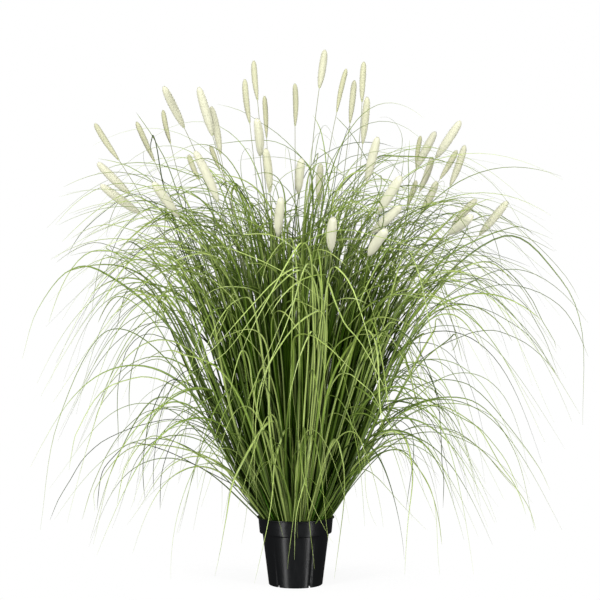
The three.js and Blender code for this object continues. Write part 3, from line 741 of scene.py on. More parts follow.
def evenly(line, count):
    # Places along a smooth curve through the line, closer together where it bends, and their shares of it.
    fine = np.linspace(0, 1, 161)
    points = catmullRom(line, fine)
    along = unit(np.diff(points, axis=0))
    bend = np.arccos(np.clip((along[1:] * along[:-1]).sum(-1), -1, 1))
    weight = np.linalg.norm(np.diff(points, axis=0), axis=-1) + blade["bendWeight"] * np.append(0, bend)
    total = np.append(0, np.cumsum(weight))
    shares = np.interp(np.linspace(0, total[-1], count), total, fine)
    return catmullRom(line, shares), shares


def wandering(line, share, number, reach):
    # The line moved aside by two slow sine waves that grow towards the tip.
    share = share[:, None]
    turn = 2 * math.pi * (share * (0.6 + 0.9 * draw(number, 61)) + draw(number, 62))
    along = unit(np.gradient(line, axis=0))
    across = sideways(line, along, 0.0)
    over = np.cross(along, across)
    grown = reach * share ** 1.5
    return line + across * np.sin(turn) * grown + over * np.cos(turn * 0.8) * grown * 0.5


def extraBlades(tuft):
    # More blades between the CAD ones, inside the reach, off the floor and clear of the heads and the pot.
    found = []
    reach = extra["reach"] + extra["rightReach"] * max(0, math.cos(wedgeMiddle(tuft))) ** 2
    for place in range(extraCount(tuft)):
        for attempt in range(extra["attempts"]):
            traits = extraTraits(tuft, place, attempt)
            line, share = evenly(freeLine(traits, blade["steps"]), blade["rings"])
            line = wandering(line, share, traits["number"], extra["wander"])
            radius = np.hypot(line[:, 0], line[:, 1])
            beforePot = (np.abs(line[:, 0]) < extra["potRoom"]) & (line[:, 1] < 0)
            byPot = (radius < extra["potRoom"]) | beforePot
            onPot = (share > 0.2) & (line[:, 2] < pot["height"] + extra["potRise"]) & byPot
            inside = radius.max() <= reach and line[:, 2].min() > extra["lowest"] and not onPot.any()
            half = traits["slim"] * widthAt(share, traits["taper"]) / 2
            if inside and clearOfHeads(line, half, blade["away"]):
                found.append({**traits, "line": line, "share": share})
                break
    return found


def gridQuads(rings, sides):
    # Faces of a tube of rings, with a flat cap of quads at each end; the ring has an even number of sides.
    low = np.arange(rings - 1)[:, None] * sides + np.arange(sides)
    nextLow = np.arange(rings - 1)[:, None] * sides + (np.arange(sides) + 1) % sides
    wall = np.stack([low, nextLow, nextLow + sides, low + sides], -1).reshape(-1, 4)
    cap = np.array([[k, k + 1, sides - 2 - k, sides - 1 - k] for k in range(sides // 2 - 1)])
    return np.vstack([wall, cap[:, ::-1], cap + (rings - 1) * sides])


def sideways(points, along, roll):
    # Unit vector across the blade: level and round the pot's axis, then rolled about the line.
    turn = np.arctan2(points[:, 1], points[:, 0])
    across = np.stack([-np.sin(turn), np.cos(turn), np.zeros(len(turn))], -1)
    across = unit(across - along * (across * along).sum(-1, keepdims=True))
    over = np.cross(along, across)
    roll = np.asarray(roll)[..., None]
    return across * np.cos(roll) + over * np.sin(roll)


def bladeRings(strand):
    # Thin folded strip: two edges, a rib sunk between them and a keel under the rib.
    line, share = strand["line"], strand["share"]
    along = unit(np.gradient(line, axis=0))
    twist = strand["roll"] + math.radians(35) * (2 * draw(strand["number"], 63) - 1) * share
    across = sideways(line, along, twist)
    over = np.cross(along, across)
    slim = strand["slim"] * (1 - strand["thinning"] * np.clip((share - 0.5) / 0.35, 0, 1))
    half = (slim * (widthAt(share, strand["taper"]) - 0.4) / 2)[:, None]
    fold = half * 2 * blade["fold"]
    thick = np.minimum(blade["thickness"], half * 0.9)
    return np.stack([line - across * half, line - over * (fold + thick), line + across * half,
                     line - over * fold], 1)


def tubeRings(points, radius, sides):
    # Round tube along a line, with its own radius at each point.
    along = unit(np.gradient(points, axis=0))
    across = unit(np.cross(np.cross(along, [1, 0, 0]), along))
    over = np.cross(along, across)
    turn = np.arange(sides) * 2 * math.pi / sides
    spokes = across[:, None] * np.cos(turn)[:, None] + over[:, None] * np.sin(turn)[:, None]
    return points[:, None] + spokes * np.asarray(radius)[:, None, None]


def stalks(tuft):
    # Short moulded stalks low in the clump, between the feet of the blades.
    found = []
    for index in range(stalk["perTuft"]):
        number = tuft * 50 + index
        share = np.linspace(0, 1, stalk["rings"])[:, None]
        turn = wedgeMiddle(tuft) + (2 * draw(number, 43) - 1) * wedge * 0.4
        radius = stalk["inner"] + stalk["spread"] * draw(number, 44)
        lean = math.radians(8 + radius * 0.3)
        outward = np.array([math.cos(turn), math.sin(turn), 0.0])
        root = outward * radius + np.array([0, 0, tufts["rootHeight"]])
        length = stalk["length"] + stalk["longer"] * draw(number, 45)
        points = root + (outward * math.sin(lean) + np.array([0, 0, math.cos(lean)])) * length * share
        points = points + outward * 6 * share ** 2
        size = stalk["radius"] * (1 - 0.5 * share[:, 0]) * (1 + 0.12 * np.sin(share[:, 0] * 22))
        found.append((tubeRings(points, size, stalk["sides"]), share[:, 0]))
    return found


def newMesh(name, vertices, quads, triangles=None, sharp=40):
    # Mesh object from arrays of vertices in millimetres, quads and triangles, with sharp edges by angle.
    mesh = bpy.data.meshes.new(name)
    triangles = np.zeros((0, 3), int) if triangles is None else triangles
    corners = np.concatenate([quads.ravel(), triangles.ravel()]).astype(np.int32)
    sizes = np.concatenate([np.full(len(quads), 4), np.full(len(triangles), 3)])
    starts = np.concatenate([[0], np.cumsum(sizes)[:-1]]).astype(np.int32)
    mesh.vertices.add(len(vertices))
    mesh.vertices.foreach_set("co", (np.asarray(vertices) * millimetre).astype(np.float32).ravel())
    mesh.loops.add(len(corners))
    mesh.loops.foreach_set("vertex_index", corners)
    mesh.polygons.add(len(sizes))
    mesh.polygons.foreach_set("loop_start", starts)
    mesh.update(calc_edges=True)
    mesh.polygons.foreach_set("use_smooth", np.ones(len(sizes), bool))
    mesh.set_sharp_from_angle(angle=math.radians(sharp))
    piece = bpy.data.objects.new(name, mesh)
    bpy.context.scene.collection.objects.link(piece)
    return piece


def addDirections(piece, name, vectors):
    layer = piece.data.attributes.new(name, "FLOAT_VECTOR", "POINT")
    layer.data.foreach_set("vector", np.asarray(vectors, np.float32).ravel())


def addValues(piece, name, values):
    layer = piece.data.attributes.new(name, "FLOAT", "POINT")
    layer.data.foreach_set("value", np.asarray(values, np.float32))


def finishPiece(piece, material, slot, *nodes):
    piece.data.materials.append(material)
    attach(piece, "root")
    if nodes:
        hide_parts(*nodes)


def crownMound(tuft):
    # The bunch's moulded crown: the CAD crown's plan, its edges inside the pocket.
    rows = crown["rows"]
    count = rows * rows
    number = np.arange(count).reshape(rows, rows)
    radius = np.linspace(tufts["crownInner"], tufts["crownOuter"], rows)[:, None]
    turn = wedgeMiddle(tuft) + np.linspace(-1, 1, rows) * (wedge / 2 - tufts["crownInset"] / radius)
    plan = np.stack([radius * np.cos(turn), radius * np.sin(turn)], -1)
    top = tufts["crownTop"] - crown["sunk"] + crown["bumps"] * draw(number + tuft * 60, 41)
    top[0] = top[-1] = tufts["crownTop"] - crown["edgeSunk"]
    top[:, 0] = top[:, -1] = tufts["crownTop"] - crown["edgeSunk"]
    upper = np.dstack([plan, top])
    lower = np.dstack([plan, np.full((rows, rows), float(tufts["crownBottom"]))])
    face = np.stack([number[:-1, :-1], number[1:, :-1], number[1:, 1:], number[:-1, 1:]], -1).reshape(-1, 4)
    border = np.concatenate([number[0, :-1], number[:-1, -1], number[-1, :0:-1], number[:0:-1, 0]])
    following = np.roll(border, -1)
    side = np.stack([border, following, following + count, border + count], -1)
    quads = np.vstack([face, face[:, ::-1] + count, side])
    return np.vstack([upper.reshape(-1, 3), lower.reshape(-1, 3)]), quads


def fromPicture(place, depth):
    # The point at a depth behind the pot's axis that the camera sees at a column and row of the photograph.
    left, near, high = (value / millimetre for value in camera["place"])
    scale = (depth - near) * camera["sensor"] / camera["focal"] / camera["pixels"]
    middle = camera["pixels"] / 2
    return left + (place[0] - middle) * scale, depth, high + (middle - place[1]) * scale


def strandOf(kind, index, line, share, **traits):
    roll = math.radians(kind["roll"] * (2 * draw(index, kind["purpose"]) - 1))
    return {**kind, "line": line, "share": share, "number": kind["first"] + index, "roll": roll, **traits}


def tracedStrands(tuft):
    # The traced blades that rise from this tuft, each moved back or forth until it is clear of the heads.
    found = []
    for index, (tint, slim, taper, depth, places) in enumerate(tracedBlades):
        for shift in traced["shifts"]:
            depths = (depth + shift) * np.arange(1, len(places) + 1) / len(places)
            points = [fromPicture(place, behind) for place, behind in zip(places, depths)]
            radius = traced["root"] + traced["rootSpread"] * draw(index, 24)
            root = rootUnder(points[0], wedgeOf(points[0]), radius)
            line, share = evenly(np.vstack([root, points]), blade["rings"])
            if clearOfHeads(line, slim * widthAt(share, taper) / 2, blade["away"]):
                break
        if wedgeOf(points[0]) == tuft:
            found.append(strandOf(traced, index, line, share, slim=slim, taper=taper, tint=tint))
    return found


def seenStrands(tuft):
    # The seen blades, smoothed; the bright ones of the front stand a little further forward at their crest
    # and are open: they get no painted shade.
    found = []
    for index, places in seenLines(tuft).items():
        line, share = evenly(places, blade["rings"])
        pale = seenTints[index] > seen["pale"]
        part = np.clip(share / seen["forwardShare"], 0, 1)
        line[:, 1] -= pale * seen["forward"] * np.sin(math.pi * part)
        line = wandering(line, share, seen["first"] + index, blade["wander"])
        found.append(strandOf(seen, index, line, share, tint=seenTints[index], open=pale))
    return found


def frontStrands(tuft):
    found = []
    for index, places in enumerate(frontBlades):
        if wedgeOf(places[0]) == tuft:
            root = rootUnder(places[0], tuft, front["root"] + front["rootSpread"] * draw(index, 22))
            line, share = evenly(np.vstack([root, np.array(places, float)]), blade["rings"])
            # Front blades are open: they get no painted shade.
            found.append(strandOf(front, index, line, share, open=True))
    return found


def plainStrands(tuft, controls):
    # The rest of the CAD tuft's blades, smoothed, bent a little and finer towards their tips.
    found = []
    for index, (line, roll) in enumerate(cadBlades(tuft, controls)):
        number = tuft * 200 + index
        line, share = evenly(line, blade["rings"])
        line = wandering(line, share, number, blade["wander"])
        found.append({**plain, "line": line, "share": share, "number": number, "roll": roll,
                      "tint": tintOf(tuft, number)})
    return found


def strandParts(tuft):
    # Every strand of a tuft as rings of points, with their shares along it, its tint, which points are edges
    # (for the painted rib highlight and edge shade) and how much painted shade each point gets for lying deep
    # in the clump.
    controls = [stemCurve(head, tuft) for head in heads if wedgeOf(head["foot"]) == tuft]
    parts = []
    strands = seenStrands(tuft) + plainStrands(tuft, controls) + frontStrands(tuft) + tracedStrands(tuft)
    for strand in strands + extraBlades(tuft):
        rings = bladeRings(strand)
        # Blades deep in the clump get painted shade; the open ones get none.
        inside = paintedShadeOf(rings.reshape(-1, 3)) * (not strand.get("open"))
        parts.append((rings, strand["share"], strand["tint"], [1, 0, 1, 0], inside))
    for stemControls in controls:
        share = np.linspace(0, 1, stem["steps"])
        radius = stem["side"] / 2 * (1 - stem["finer"] * share)
        rings = tubeRings(bezier(stemControls, share), radius, stem["sides"])
        parts.append((rings, share, 2.0, [0] * stem["sides"], 0 * rings[..., 0].ravel()))
    for rings, share in stalks(tuft):
        parts.append((rings, share, 3.0, [0] * stalk["sides"], 0 * rings[..., 0].ravel()))
    return parts


def paintedShadeOf(points):
    # How much painted shade a point gets: 1 deep inside the clump, and 0 above it or at the flank of its
    # cone, which bulges near the foot.
    radius = np.hypot(points[:, 0], points[:, 1])
    height = np.maximum(points[:, 2] - tufts["rootHeight"], 0)
    part = height / shade["bulgeHeight"]
    cone = shade["coneFoot"] + shade["coneSlope"] * height + shade["bulge"] * part * np.exp(1 - part)
    inward = np.clip((shade["light"] - radius / cone) / (shade["light"] - shade["dark"]), 0, 1)
    below = np.clip((shade["fadeTo"] - points[:, 2]) / (shade["fadeTo"] - shade["fadeFrom"]), 0, 1)
    return inward * below


def makeTuft(tuft, material):
    crownPoints, crownQuads = crownMound(tuft)
    vertices = [crownPoints]
    quads = [crownQuads]
    # The crown gets full painted shade.
    values = {"tint": [np.full(len(crownPoints), 0.2)], "along": [np.zeros(len(crownPoints))],
              "across": [np.zeros(len(crownPoints))], "inside": [np.ones(len(crownPoints))]}
    count = len(crownPoints)
    parts = strandParts(tuft)
    for rings, share, tint, edges, inside in parts:
        sides = rings.shape[1]
        vertices.append(rings.reshape(-1, 3))
        quads.append(gridQuads(len(rings), sides) + count)
        count += len(rings) * sides
        values["tint"].append(np.full(len(rings) * sides, tint))
        values["along"].append(np.repeat(share, sides))
        values["across"].append(np.tile(edges, len(rings)))
        values["inside"].append(inside)
    piece = newMesh(f"tuft_fine_{tuft + 1:02d}", np.vstack(vertices), np.vstack(quads), sharp=50)
    for name, pieces in values.items():
        addValues(piece, name, np.concatenate(pieces))
    finishPiece(piece, material, "blade_plastic", f"tuft_{tuft + 1:02d}")
    return len(parts)


def headFrame(head):
    across = unit(np.cross([0.0, 0.0, 1.0], head["along"]))
    return across, np.cross(head["along"], across)


def swell(head, share):
    # Half the thickness of a head along it: thin ones taper to their foot and thick ones to both ends.
    thin = np.interp(share, profile["places"], profile["thin"])
    thick = np.interp(share, profile["places"], profile["thick"])
    return (thin + (thick - thin) * thickness(head)) * head["girth"] / 2


def thickness(head):
    # 0 for the thinnest heads and 1 for the thickest.
    part = (head["girth"] - floret["thinnest"]) / (floret["thickest"] - floret["thinnest"])
    return float(np.clip(part, 0, 1))


def headCentre(head, share, number):
    # Middle of the head at a share of its length, bowed a little to one side.
    across, over = headFrame(head)
    turn = 2 * math.pi * draw(number, 95)
    side = across * math.cos(turn) + over * math.sin(turn)
    bow = floret["bow"] * np.sin(math.pi * share)[:, None]
    return head["foot"] + head["along"] * (head["length"] * share)[:, None] + side * bow


def facing(head, share, outward):
    # The way the head's surface faces there: outwards, tipped up or down by the slope of its swell.
    slope = (swell(head, share - 0.03) - swell(head, share + 0.03)) / (0.06 * head["length"])
    return unit(outward + head["along"] * slope[:, None])


def plumeCore(head, number):
    # Round smooth core that the florets stand out of.
    around = floret["coreSides"]
    share = np.repeat(np.linspace(0, 1, floret["coreRings"]), around)
    turn = np.tile(np.arange(around) * 2 * math.pi / around, floret["coreRings"])
    centre, outward = placedRound(head, share, turn, number)[:2]
    radius = swell(head, share)
    radius[:around] = stem["side"] * floret["coreFoot"]
    points = centre + outward * radius[:, None]
    return points, gridQuads(floret["coreRings"], around), share, facing(head, share, outward)


def placedRound(head, share, turn, number):
    # Centre, outward and round directions for places on a head given by share and turn.
    across, over = headFrame(head)
    outward = np.cos(turn)[:, None] * across + np.sin(turn)[:, None] * over
    sidewise = -np.sin(turn)[:, None] * across + np.cos(turn)[:, None] * over
    return headCentre(head, share, number), outward, sidewise


def outline(head, share, turn):
    # Radius of the head's outline: its swell, with a low ripple that winds up it as the whorls do.
    winding = 2 * math.pi * share * head["length"] / floret["whorl"] + turn
    return swell(head, share) * (1 + floret["ripple"] * np.sin(winding))


def florets(head, number):
    # Pointed spindles in staggered rows, each leaning towards the head's tip and ending at the outline.
    count = floret["rows"] * floret["around"]
    index = np.arange(count)
    row = index // floret["around"]
    jitter = draw(index, 81 + number) - 0.5
    share = (row + 0.3 + 0.4 * jitter) / floret["rows"] * 0.95
    place = index % floret["around"] + 0.5 * (row % 2) + 0.3 * draw(index, 82 + number)
    turn = place * 2 * math.pi / floret["around"]
    centre, outward, sidewise = placedRound(head, share, turn, number)
    base = centre + outward * (swell(head, share) * floret["root"])[:, None]
    tipShare = np.minimum(share + floret["lead"] * (1 + 0.3 * jitter) / head["length"], 1)
    tip = headCentre(head, tipShare, number) + outward * outline(head, tipShare, turn)[:, None]
    half = (floret["width"] / 2 * (0.45 + 1.1 * swell(head, share) / head["girth"]))[:, None]
    high = np.cross(unit(tip - base), sidewise)
    middle = base + (tip - base) * 0.45
    corners = np.stack([base, middle + sidewise * half, middle + high * half, middle - sidewise * half,
                        middle - high * half, tip], 1)
    start = (index * 6)[:, None]
    sides = [(0, 2, 1), (0, 3, 2), (0, 4, 3), (0, 1, 4), (5, 1, 2), (5, 2, 3), (5, 3, 4), (5, 4, 1)]
    faces = np.concatenate([start + np.array(side) for side in sides])
    # Floret roots are a little darker than their tips: painted shade between the bristles.
    shade = np.tile([0.1, 0.5, 0.5, 0.5, 0.5, 0.9], count)
    towards = np.repeat(facing(head, share, outward), 6, 0)
    return corners.reshape(-1, 3), faces, shade, np.repeat(share, 6), towards


def awns(head, number):
    # Fine three-sided bristles that stand a little out of the florets, turned by the golden angle.
    count = floret["awns"]
    index = np.arange(count)
    share = 0.01 + 0.97 * (index + draw(index, 86 + number)) / count
    turn = index * 2.399963 + 0.5 * draw(index, 87 + number)
    centre, outward, sidewise = placedRound(head, share, turn, number)
    base = centre + outward * (swell(head, share) * floret["awnRoot"])[:, None]
    tipShare = share + floret["awnLead"] * (0.6 + 0.7 * draw(index, 88 + number)) / head["length"]
    tipShare = np.minimum(tipShare, 1 + 1.5 / head["length"])
    radius = outline(head, tipShare, turn) * (0.97 + 0.12 * draw(index, 90 + number)) + 0.3
    aside = 2.4 * (draw(index, 89 + number) - 0.5)
    tip = headCentre(head, tipShare, number) + outward * radius[:, None] + sidewise * aside[:, None]
    half = floret["awnWidth"] / 2
    high = np.cross(unit(tip - base), sidewise)
    corners = np.stack([base + sidewise * half, base - sidewise * half / 2 + high * half,
                        base - sidewise * half / 2 - high * half, tip], 1)
    start = (index * 4)[:, None]
    faces = np.concatenate([start + np.array(side) for side in ((0, 1, 2), (0, 3, 1), (1, 3, 2), (2, 3, 0))])
    # Awn roots are a little darker than their tips: painted shade between the bristles.
    shade = np.tile([0.4, 0.4, 0.4, 1], count)
    towards = np.repeat(facing(head, share, outward), 4, 0)
    return corners.reshape(-1, 3), faces, shade, np.repeat(share, 4), towards


def makePlume(index, head, material):
    core, quads, coreShare, coreFacing = plumeCore(head, index)
    spindles, spindleFaces, spindleShade, spindleShare, spindleFacing = florets(head, index)
    bristles, bristleFaces, bristleShade, bristleShare, bristleFacing = awns(head, index)
    vertices = np.vstack([core, spindles, bristles])
    triangles = np.vstack([spindleFaces + len(core), bristleFaces + len(core) + len(spindles)])
    piece = newMesh(f"plume_fine_{index + 1:02d}", vertices, quads, triangles, sharp=30)
    # The core sits a little darker than the floret tips: painted shade.
    addValues(piece, "outward", np.concatenate([np.full(len(core), 0.4), spindleShade, bristleShade]))
    addValues(piece, "along", np.concatenate([coreShare, spindleShare, bristleShare]))
    addValues(piece, "tint", np.full(len(vertices), thickness(head)))
    addDirections(piece, "facing", np.vstack([coreFacing, spindleFacing, bristleFacing]))
    # Heads that nod to the front get painted light, to lift their downward-facing side.
    level = floret["level"] + floret["noddingPaintedLight"] * max(0, -head["along"][1])
    addValues(piece, "level", np.full(len(vertices), level))
    finishPiece(piece, material, "plume_plastic", f"plume_{index + 1:02d}")


def rounded(outline, radius, steps=4):
    # Outline with each inner corner replaced by a quadratic bend that starts and ends at radius from it.
    points = [np.array(point, float) for point in outline]
    result = [points[0]]
    for before, corner, after in zip(points[:-2], points[1:-1], points[2:]):
        inward = before - corner
        onward = after - corner
        reach = min(radius, np.linalg.norm(inward) / 2, np.linalg.norm(onward) / 2)
        start = corner + inward / np.linalg.norm(inward) * reach
        finish = corner + onward / np.linalg.norm(onward) * reach
        for part in np.linspace(0, 1, steps):
            result.append((1 - part) ** 2 * start + 2 * part * (1 - part) * corner + part ** 2 * finish)
    result.append(points[-1])
    return np.array(result)


def bodyRadius(height):
    top = pot["height"] - pot["collarHeight"]
    return pot["foot"] + (pot["bodyTop"] - pot["foot"]) * height / top


def innerRadius(height):
    step = pot["height"] - pot["collarHeight"]
    if height < step:
        return bodyRadius(height) - pot["wall"]
    part = (height - step - pot["wall"]) / (pot["collarHeight"] - pot["wall"])
    return pot["collarFoot"] + (pot["collarTop"] - pot["collarFoot"]) * part - pot["wall"]


def refined(outline, longest):
    # Outline with its long stretches divided, so that the flutes have rings to bend.
    points = [outline[0]]
    for start, finish in zip(outline[:-1], outline[1:]):
        steps = max(1, math.ceil(np.linalg.norm(finish - start) / longest))
        points += [start + (finish - start) * part for part in np.arange(1, steps + 1) / steps]
    return np.array(points)


def makePot(material):
    step = pot["height"] - pot["collarHeight"]
    lip = pot["height"] - pot["lipHeight"]
    floorTop = pot["recess"] + pot["floor"]
    recess = pot["recess"]
    outside = [(0.5, recess), (pot["foot"] - 6, recess), (pot["foot"] - 5, 0), (pot["foot"], 0),
               (bodyRadius(step) - 0.3, step - 1.2), (pot["collarFoot"], step),
               (pot["collarTop"], lip), (pot["lipRadius"], lip), (pot["lipRadius"], pot["height"]),
               (pot["collarTop"] - pot["wall"], pot["height"]),
               (innerRadius(step + pot["wall"]), step + pot["wall"]),
               (innerRadius(step - 1), step - 1), (innerRadius(floorTop), floorTop), (0.5, floorTop)]
    outline = refined(rounded(outside, 1.6), 6)
    around = pot["around"]
    turn = np.arange(around) * 2 * math.pi / around
    radius = np.repeat(outline[:, 0][:, None], around, 1)
    height = np.repeat(outline[:, 1][:, None], around, 1)
    # Each flute is a bell-shaped dent that fades up the wall.
    outer = (np.arange(len(outline)) < np.argmax(outline[:, 1] > step - 2))[:, None]
    for index in range(pot["notches"]):
        angle = math.radians(pot["firstNotch"] + index * 360 / pot["notches"])
        offset = np.arctan2(np.sin(turn - angle), np.cos(turn - angle)) * radius
        fade = np.clip(1 - height / pot["fluteHeight"], 0, 1) ** 0.6
        dent = pot["fluteDepth"] * fade * np.exp(-(offset / pot["fluteWidth"]) ** 2)
        radius = radius - outer * (radius > pot["foot"] - 3) * dent
    vertices = np.stack([radius * np.cos(turn), radius * np.sin(turn), height], -1).reshape(-1, 3)
    piece = newMesh("pot_fine", vertices, gridQuads(len(outline), around), sharp=35)
    cutNotches(piece)
    finishPiece(piece, material, "pot_plastic", "pot")


def cutNotches(piece):
    # Drain notches through the foot of the wall, cut by one solid of rounded blocks.
    vertices = []
    quads = []
    half = pot["notchWidth"] / 2
    top = pot["notchHeight"]
    bevel = pot["notchBevel"]
    arch = [(half, -2), (half, top - bevel), (half - bevel, top), (-half + bevel, top), (-half, top - bevel),
            (-half, -2)]
    for index in range(pot["notches"]):
        angle = math.radians(pot["firstNotch"] + index * 360 / pot["notches"])
        rings = []
        for out in (pot["foot"] - pot["notchDepth"] / 2, pot["foot"] + pot["notchDepth"] / 2):
            rings.append([(out * math.cos(angle) - side * math.sin(angle),
                           out * math.sin(angle) + side * math.cos(angle), up) for side, up in arch])
        quads.append(gridQuads(2, 6) + len(vertices) * 12)
        vertices.append(np.array(rings).reshape(-1, 3))
    cutter = newMesh("notch_cutter", np.vstack(vertices), np.vstack(quads))
    cut = piece.modifiers.new("notches", "BOOLEAN")
    cut.operation = "DIFFERENCE"
    cut.solver = "EXACT"
    cut.object = cutter
    graph = bpy.context.evaluated_depsgraph_get()
    result = bpy.data.meshes.new_from_object(piece.evaluated_get(graph))
    piece.modifiers.clear()
    piece.data = result
    bpy.data.objects.remove(cutter)


def makeFilling(material):
    # Rough dark top that rises a little to the middle, on a plain plug inside the pot's wall.
    around = filling["around"]
    turn = np.arange(around) * 2 * math.pi / around
    edge = innerRadius(filling["top"]) - filling["gap"]
    topRadius = np.linspace(0.5, edge, filling["rings"])
    bottom = pot["recess"] + pot["floor"] + 0.3
    step = pot["height"] - pot["collarHeight"]
    side = np.array([(innerRadius(step + pot["wall"]) - 1, step + pot["wall"] + 1),
                     (innerRadius(step - 1) - 1, step - 1), (innerRadius(bottom) - 1, bottom), (0.5, bottom)])
    topHeight = filling["top"] + filling["rise"] * (1 - (topRadius / edge) ** 2)
    radius = np.append(topRadius, side[:, 0])[:, None] + 0 * turn
    height = np.append(topHeight, side[:, 1])[:, None] + 0 * turn
    ring = np.arange(filling["rings"])[:, None]
    bumps = draw(ring * 131 + np.arange(around), 51) - 0.5
    bumps = (bumps + np.roll(bumps, 1, 1) + np.roll(bumps, 1, 0)) / 2
    height[1:filling["rings"] - 1] += filling["bumps"] * bumps[1:-1] - filling["sunk"]
    vertices = np.stack([radius * np.cos(turn), radius * np.sin(turn), height], -1).reshape(-1, 3)
    quads = gridQuads(len(radius), around)[:, ::-1]
    piece = newMesh("filling_fine", vertices, quads, sharp=60)
    finishPiece(piece, material, "filling", "filling")


def newMaterial(name, colour, roughness, specular=0.5):
    material = bpy.data.materials.new(name)
    material.use_nodes = True
    shader = material.node_tree.nodes["Principled BSDF"]
    shader.inputs["Base Color"].default_value = (*colour, 1)
    shader.inputs["Roughness"].default_value = roughness
    shader.inputs["Specular IOR Level"].default_value = specular
    return material, material.node_tree, shader


def addNode(tree, kind, **settings):
    node = tree.nodes.new(kind)
    for name, value in settings.items():
        setattr(node, name, value)
    return node


def attribute(tree, name):
    return addNode(tree, "ShaderNodeAttribute", attribute_name=name).outputs["Fac"]


def calculate(tree, operation, first, second=0.0, third=None):
    node = addNode(tree, "ShaderNodeMath", operation=operation)
    for index, value in enumerate((first, second, third)):
        if value is None:
            continue
        if isinstance(value, (int, float)):
            node.inputs[index].default_value = value
        else:
            tree.links.new(value, node.inputs[index])
    return node.outputs[0]


def ramp(tree, value, stops):
    node = addNode(tree, "ShaderNodeValToRGB")
    while len(node.color_ramp.elements) < len(stops):
        node.color_ramp.elements.new(0.5)
    for element, (place, colour) in zip(node.color_ramp.elements, stops):
        element.position = place
        element.color = (*colour, 1)
    tree.links.new(value, node.inputs[0])
    return node.outputs["Color"]


def mixColour(tree, share, first, second, blend="MIX"):
    node = addNode(tree, "ShaderNodeMix", data_type="RGBA", blend_type=blend)
    for socket, value in ((0, share), (6, first), (7, second)):
        if isinstance(value, (int, float)):
            node.inputs[socket].default_value = value
        elif isinstance(value, tuple):
            node.inputs[socket].default_value = (*value, 1)
        else:
            tree.links.new(value, node.inputs[socket])
    return node.outputs[2]


def noise(tree, scale, detail=3, stretch=(1, 1, 1)):
    place = addNode(tree, "ShaderNodeTexCoord").outputs["Object"]
    mapping = addNode(tree, "ShaderNodeMapping")
    mapping.inputs["Scale"].default_value = stretch
    tree.links.new(place, mapping.inputs["Vector"])
    node = addNode(tree, "ShaderNodeTexNoise")
    node.inputs["Scale"].default_value = scale
    node.inputs["Detail"].default_value = detail
    tree.links.new(mapping.outputs[0], node.inputs["Vector"])
    return node.outputs["Fac"]


def bladeMaterial():
    material, tree, shader = newMaterial("blade_plastic", (0.15, 0.25, 0.06), 0.38, 0.5)
    tint = attribute(tree, "tint")
    along = attribute(tree, "along")
    place = calculate(tree, "MULTIPLY_ADD", calculate(tree, "SUBTRACT", tint, 0.5), 0.3, along)
    green = ramp(tree, place, [
        (0.0, (0.085, 0.14, 0.024)),
        (0.25, (0.12, 0.19, 0.034)),
        (0.55, (0.165, 0.255, 0.042)),
        (0.8, (0.235, 0.335, 0.064)),
        (1.0, (0.36, 0.45, 0.14)),
    ])
    cool = mixColour(tree, calculate(tree, "LESS_THAN", tint, 0.14), green, (0.075, 0.13, 0.022))
    bright = calculate(tree, "MULTIPLY", calculate(tree, "GREATER_THAN", tint, 0.84), 0.75)
    level = ramp(tree, tint, [(0.0, (0.62, 0.62, 0.62)), (0.5, (1, 1, 1)), (1.0, (1.12, 1.12, 1.12))])
    varied = mixColour(tree, bright, mixColour(tree, 1.0, cool, level, "MULTIPLY"), (0.4, 0.51, 0.16))
    # Painted highlight along each blade's rib and keel, and painted shade at its two edges.
    rib = calculate(tree, "SUBTRACT", 1, attribute(tree, "across"))
    edge = ramp(tree, rib, [(0.0, (0.52, 0.55, 0.5)), (0.6, (1, 1, 1)), (1.0, (1.8, 1.65, 1.5))])
    ribLitEdgesShaded = mixColour(tree, 1.0, varied, edge, "MULTIPLY")
    grain = ramp(tree, noise(tree, 60, 2, (1, 1, 0.2)), [(0.35, (0.6, 0.62, 0.6)), (0.65, (1, 1, 1))])
    grained = mixColour(tree, 0.5, ribLitEdgesShaded, grain, "MULTIPLY")
    # Painted shade: blades deep in the clump are darkened toward a dark green, less so for the bright ones,
    # and their specular is lowered there too.
    unlit = calculate(tree, "MULTIPLY_ADD", bright, -0.6, 1)
    paintedShadeShare = calculate(tree, "MULTIPLY", attribute(tree, "inside"), unlit)
    shaded = mixColour(tree, paintedShadeShare, grained, (0.13, 0.2, 0.06), "MULTIPLY")
    sheen = calculate(tree, "MULTIPLY_ADD", paintedShadeShare, -0.36, 0.38)
    tree.links.new(sheen, shader.inputs["Specular IOR Level"])
    isStem = calculate(tree, "GREATER_THAN", tint, 1.5)
    stemColour = ramp(tree, along, [
        (0.0, (0.07, 0.11, 0.03)),
        (0.7, (0.13, 0.155, 0.07)),
        (1.0, (0.26, 0.28, 0.14)),
    ])
    stemmed = mixColour(tree, isStem, shaded, stemColour)
    isStalk = calculate(tree, "GREATER_THAN", tint, 2.5)
    tree.links.new(mixColour(tree, isStalk, stemmed, (0.07, 0.2, 0.012)), shader.inputs["Base Color"])
    return material


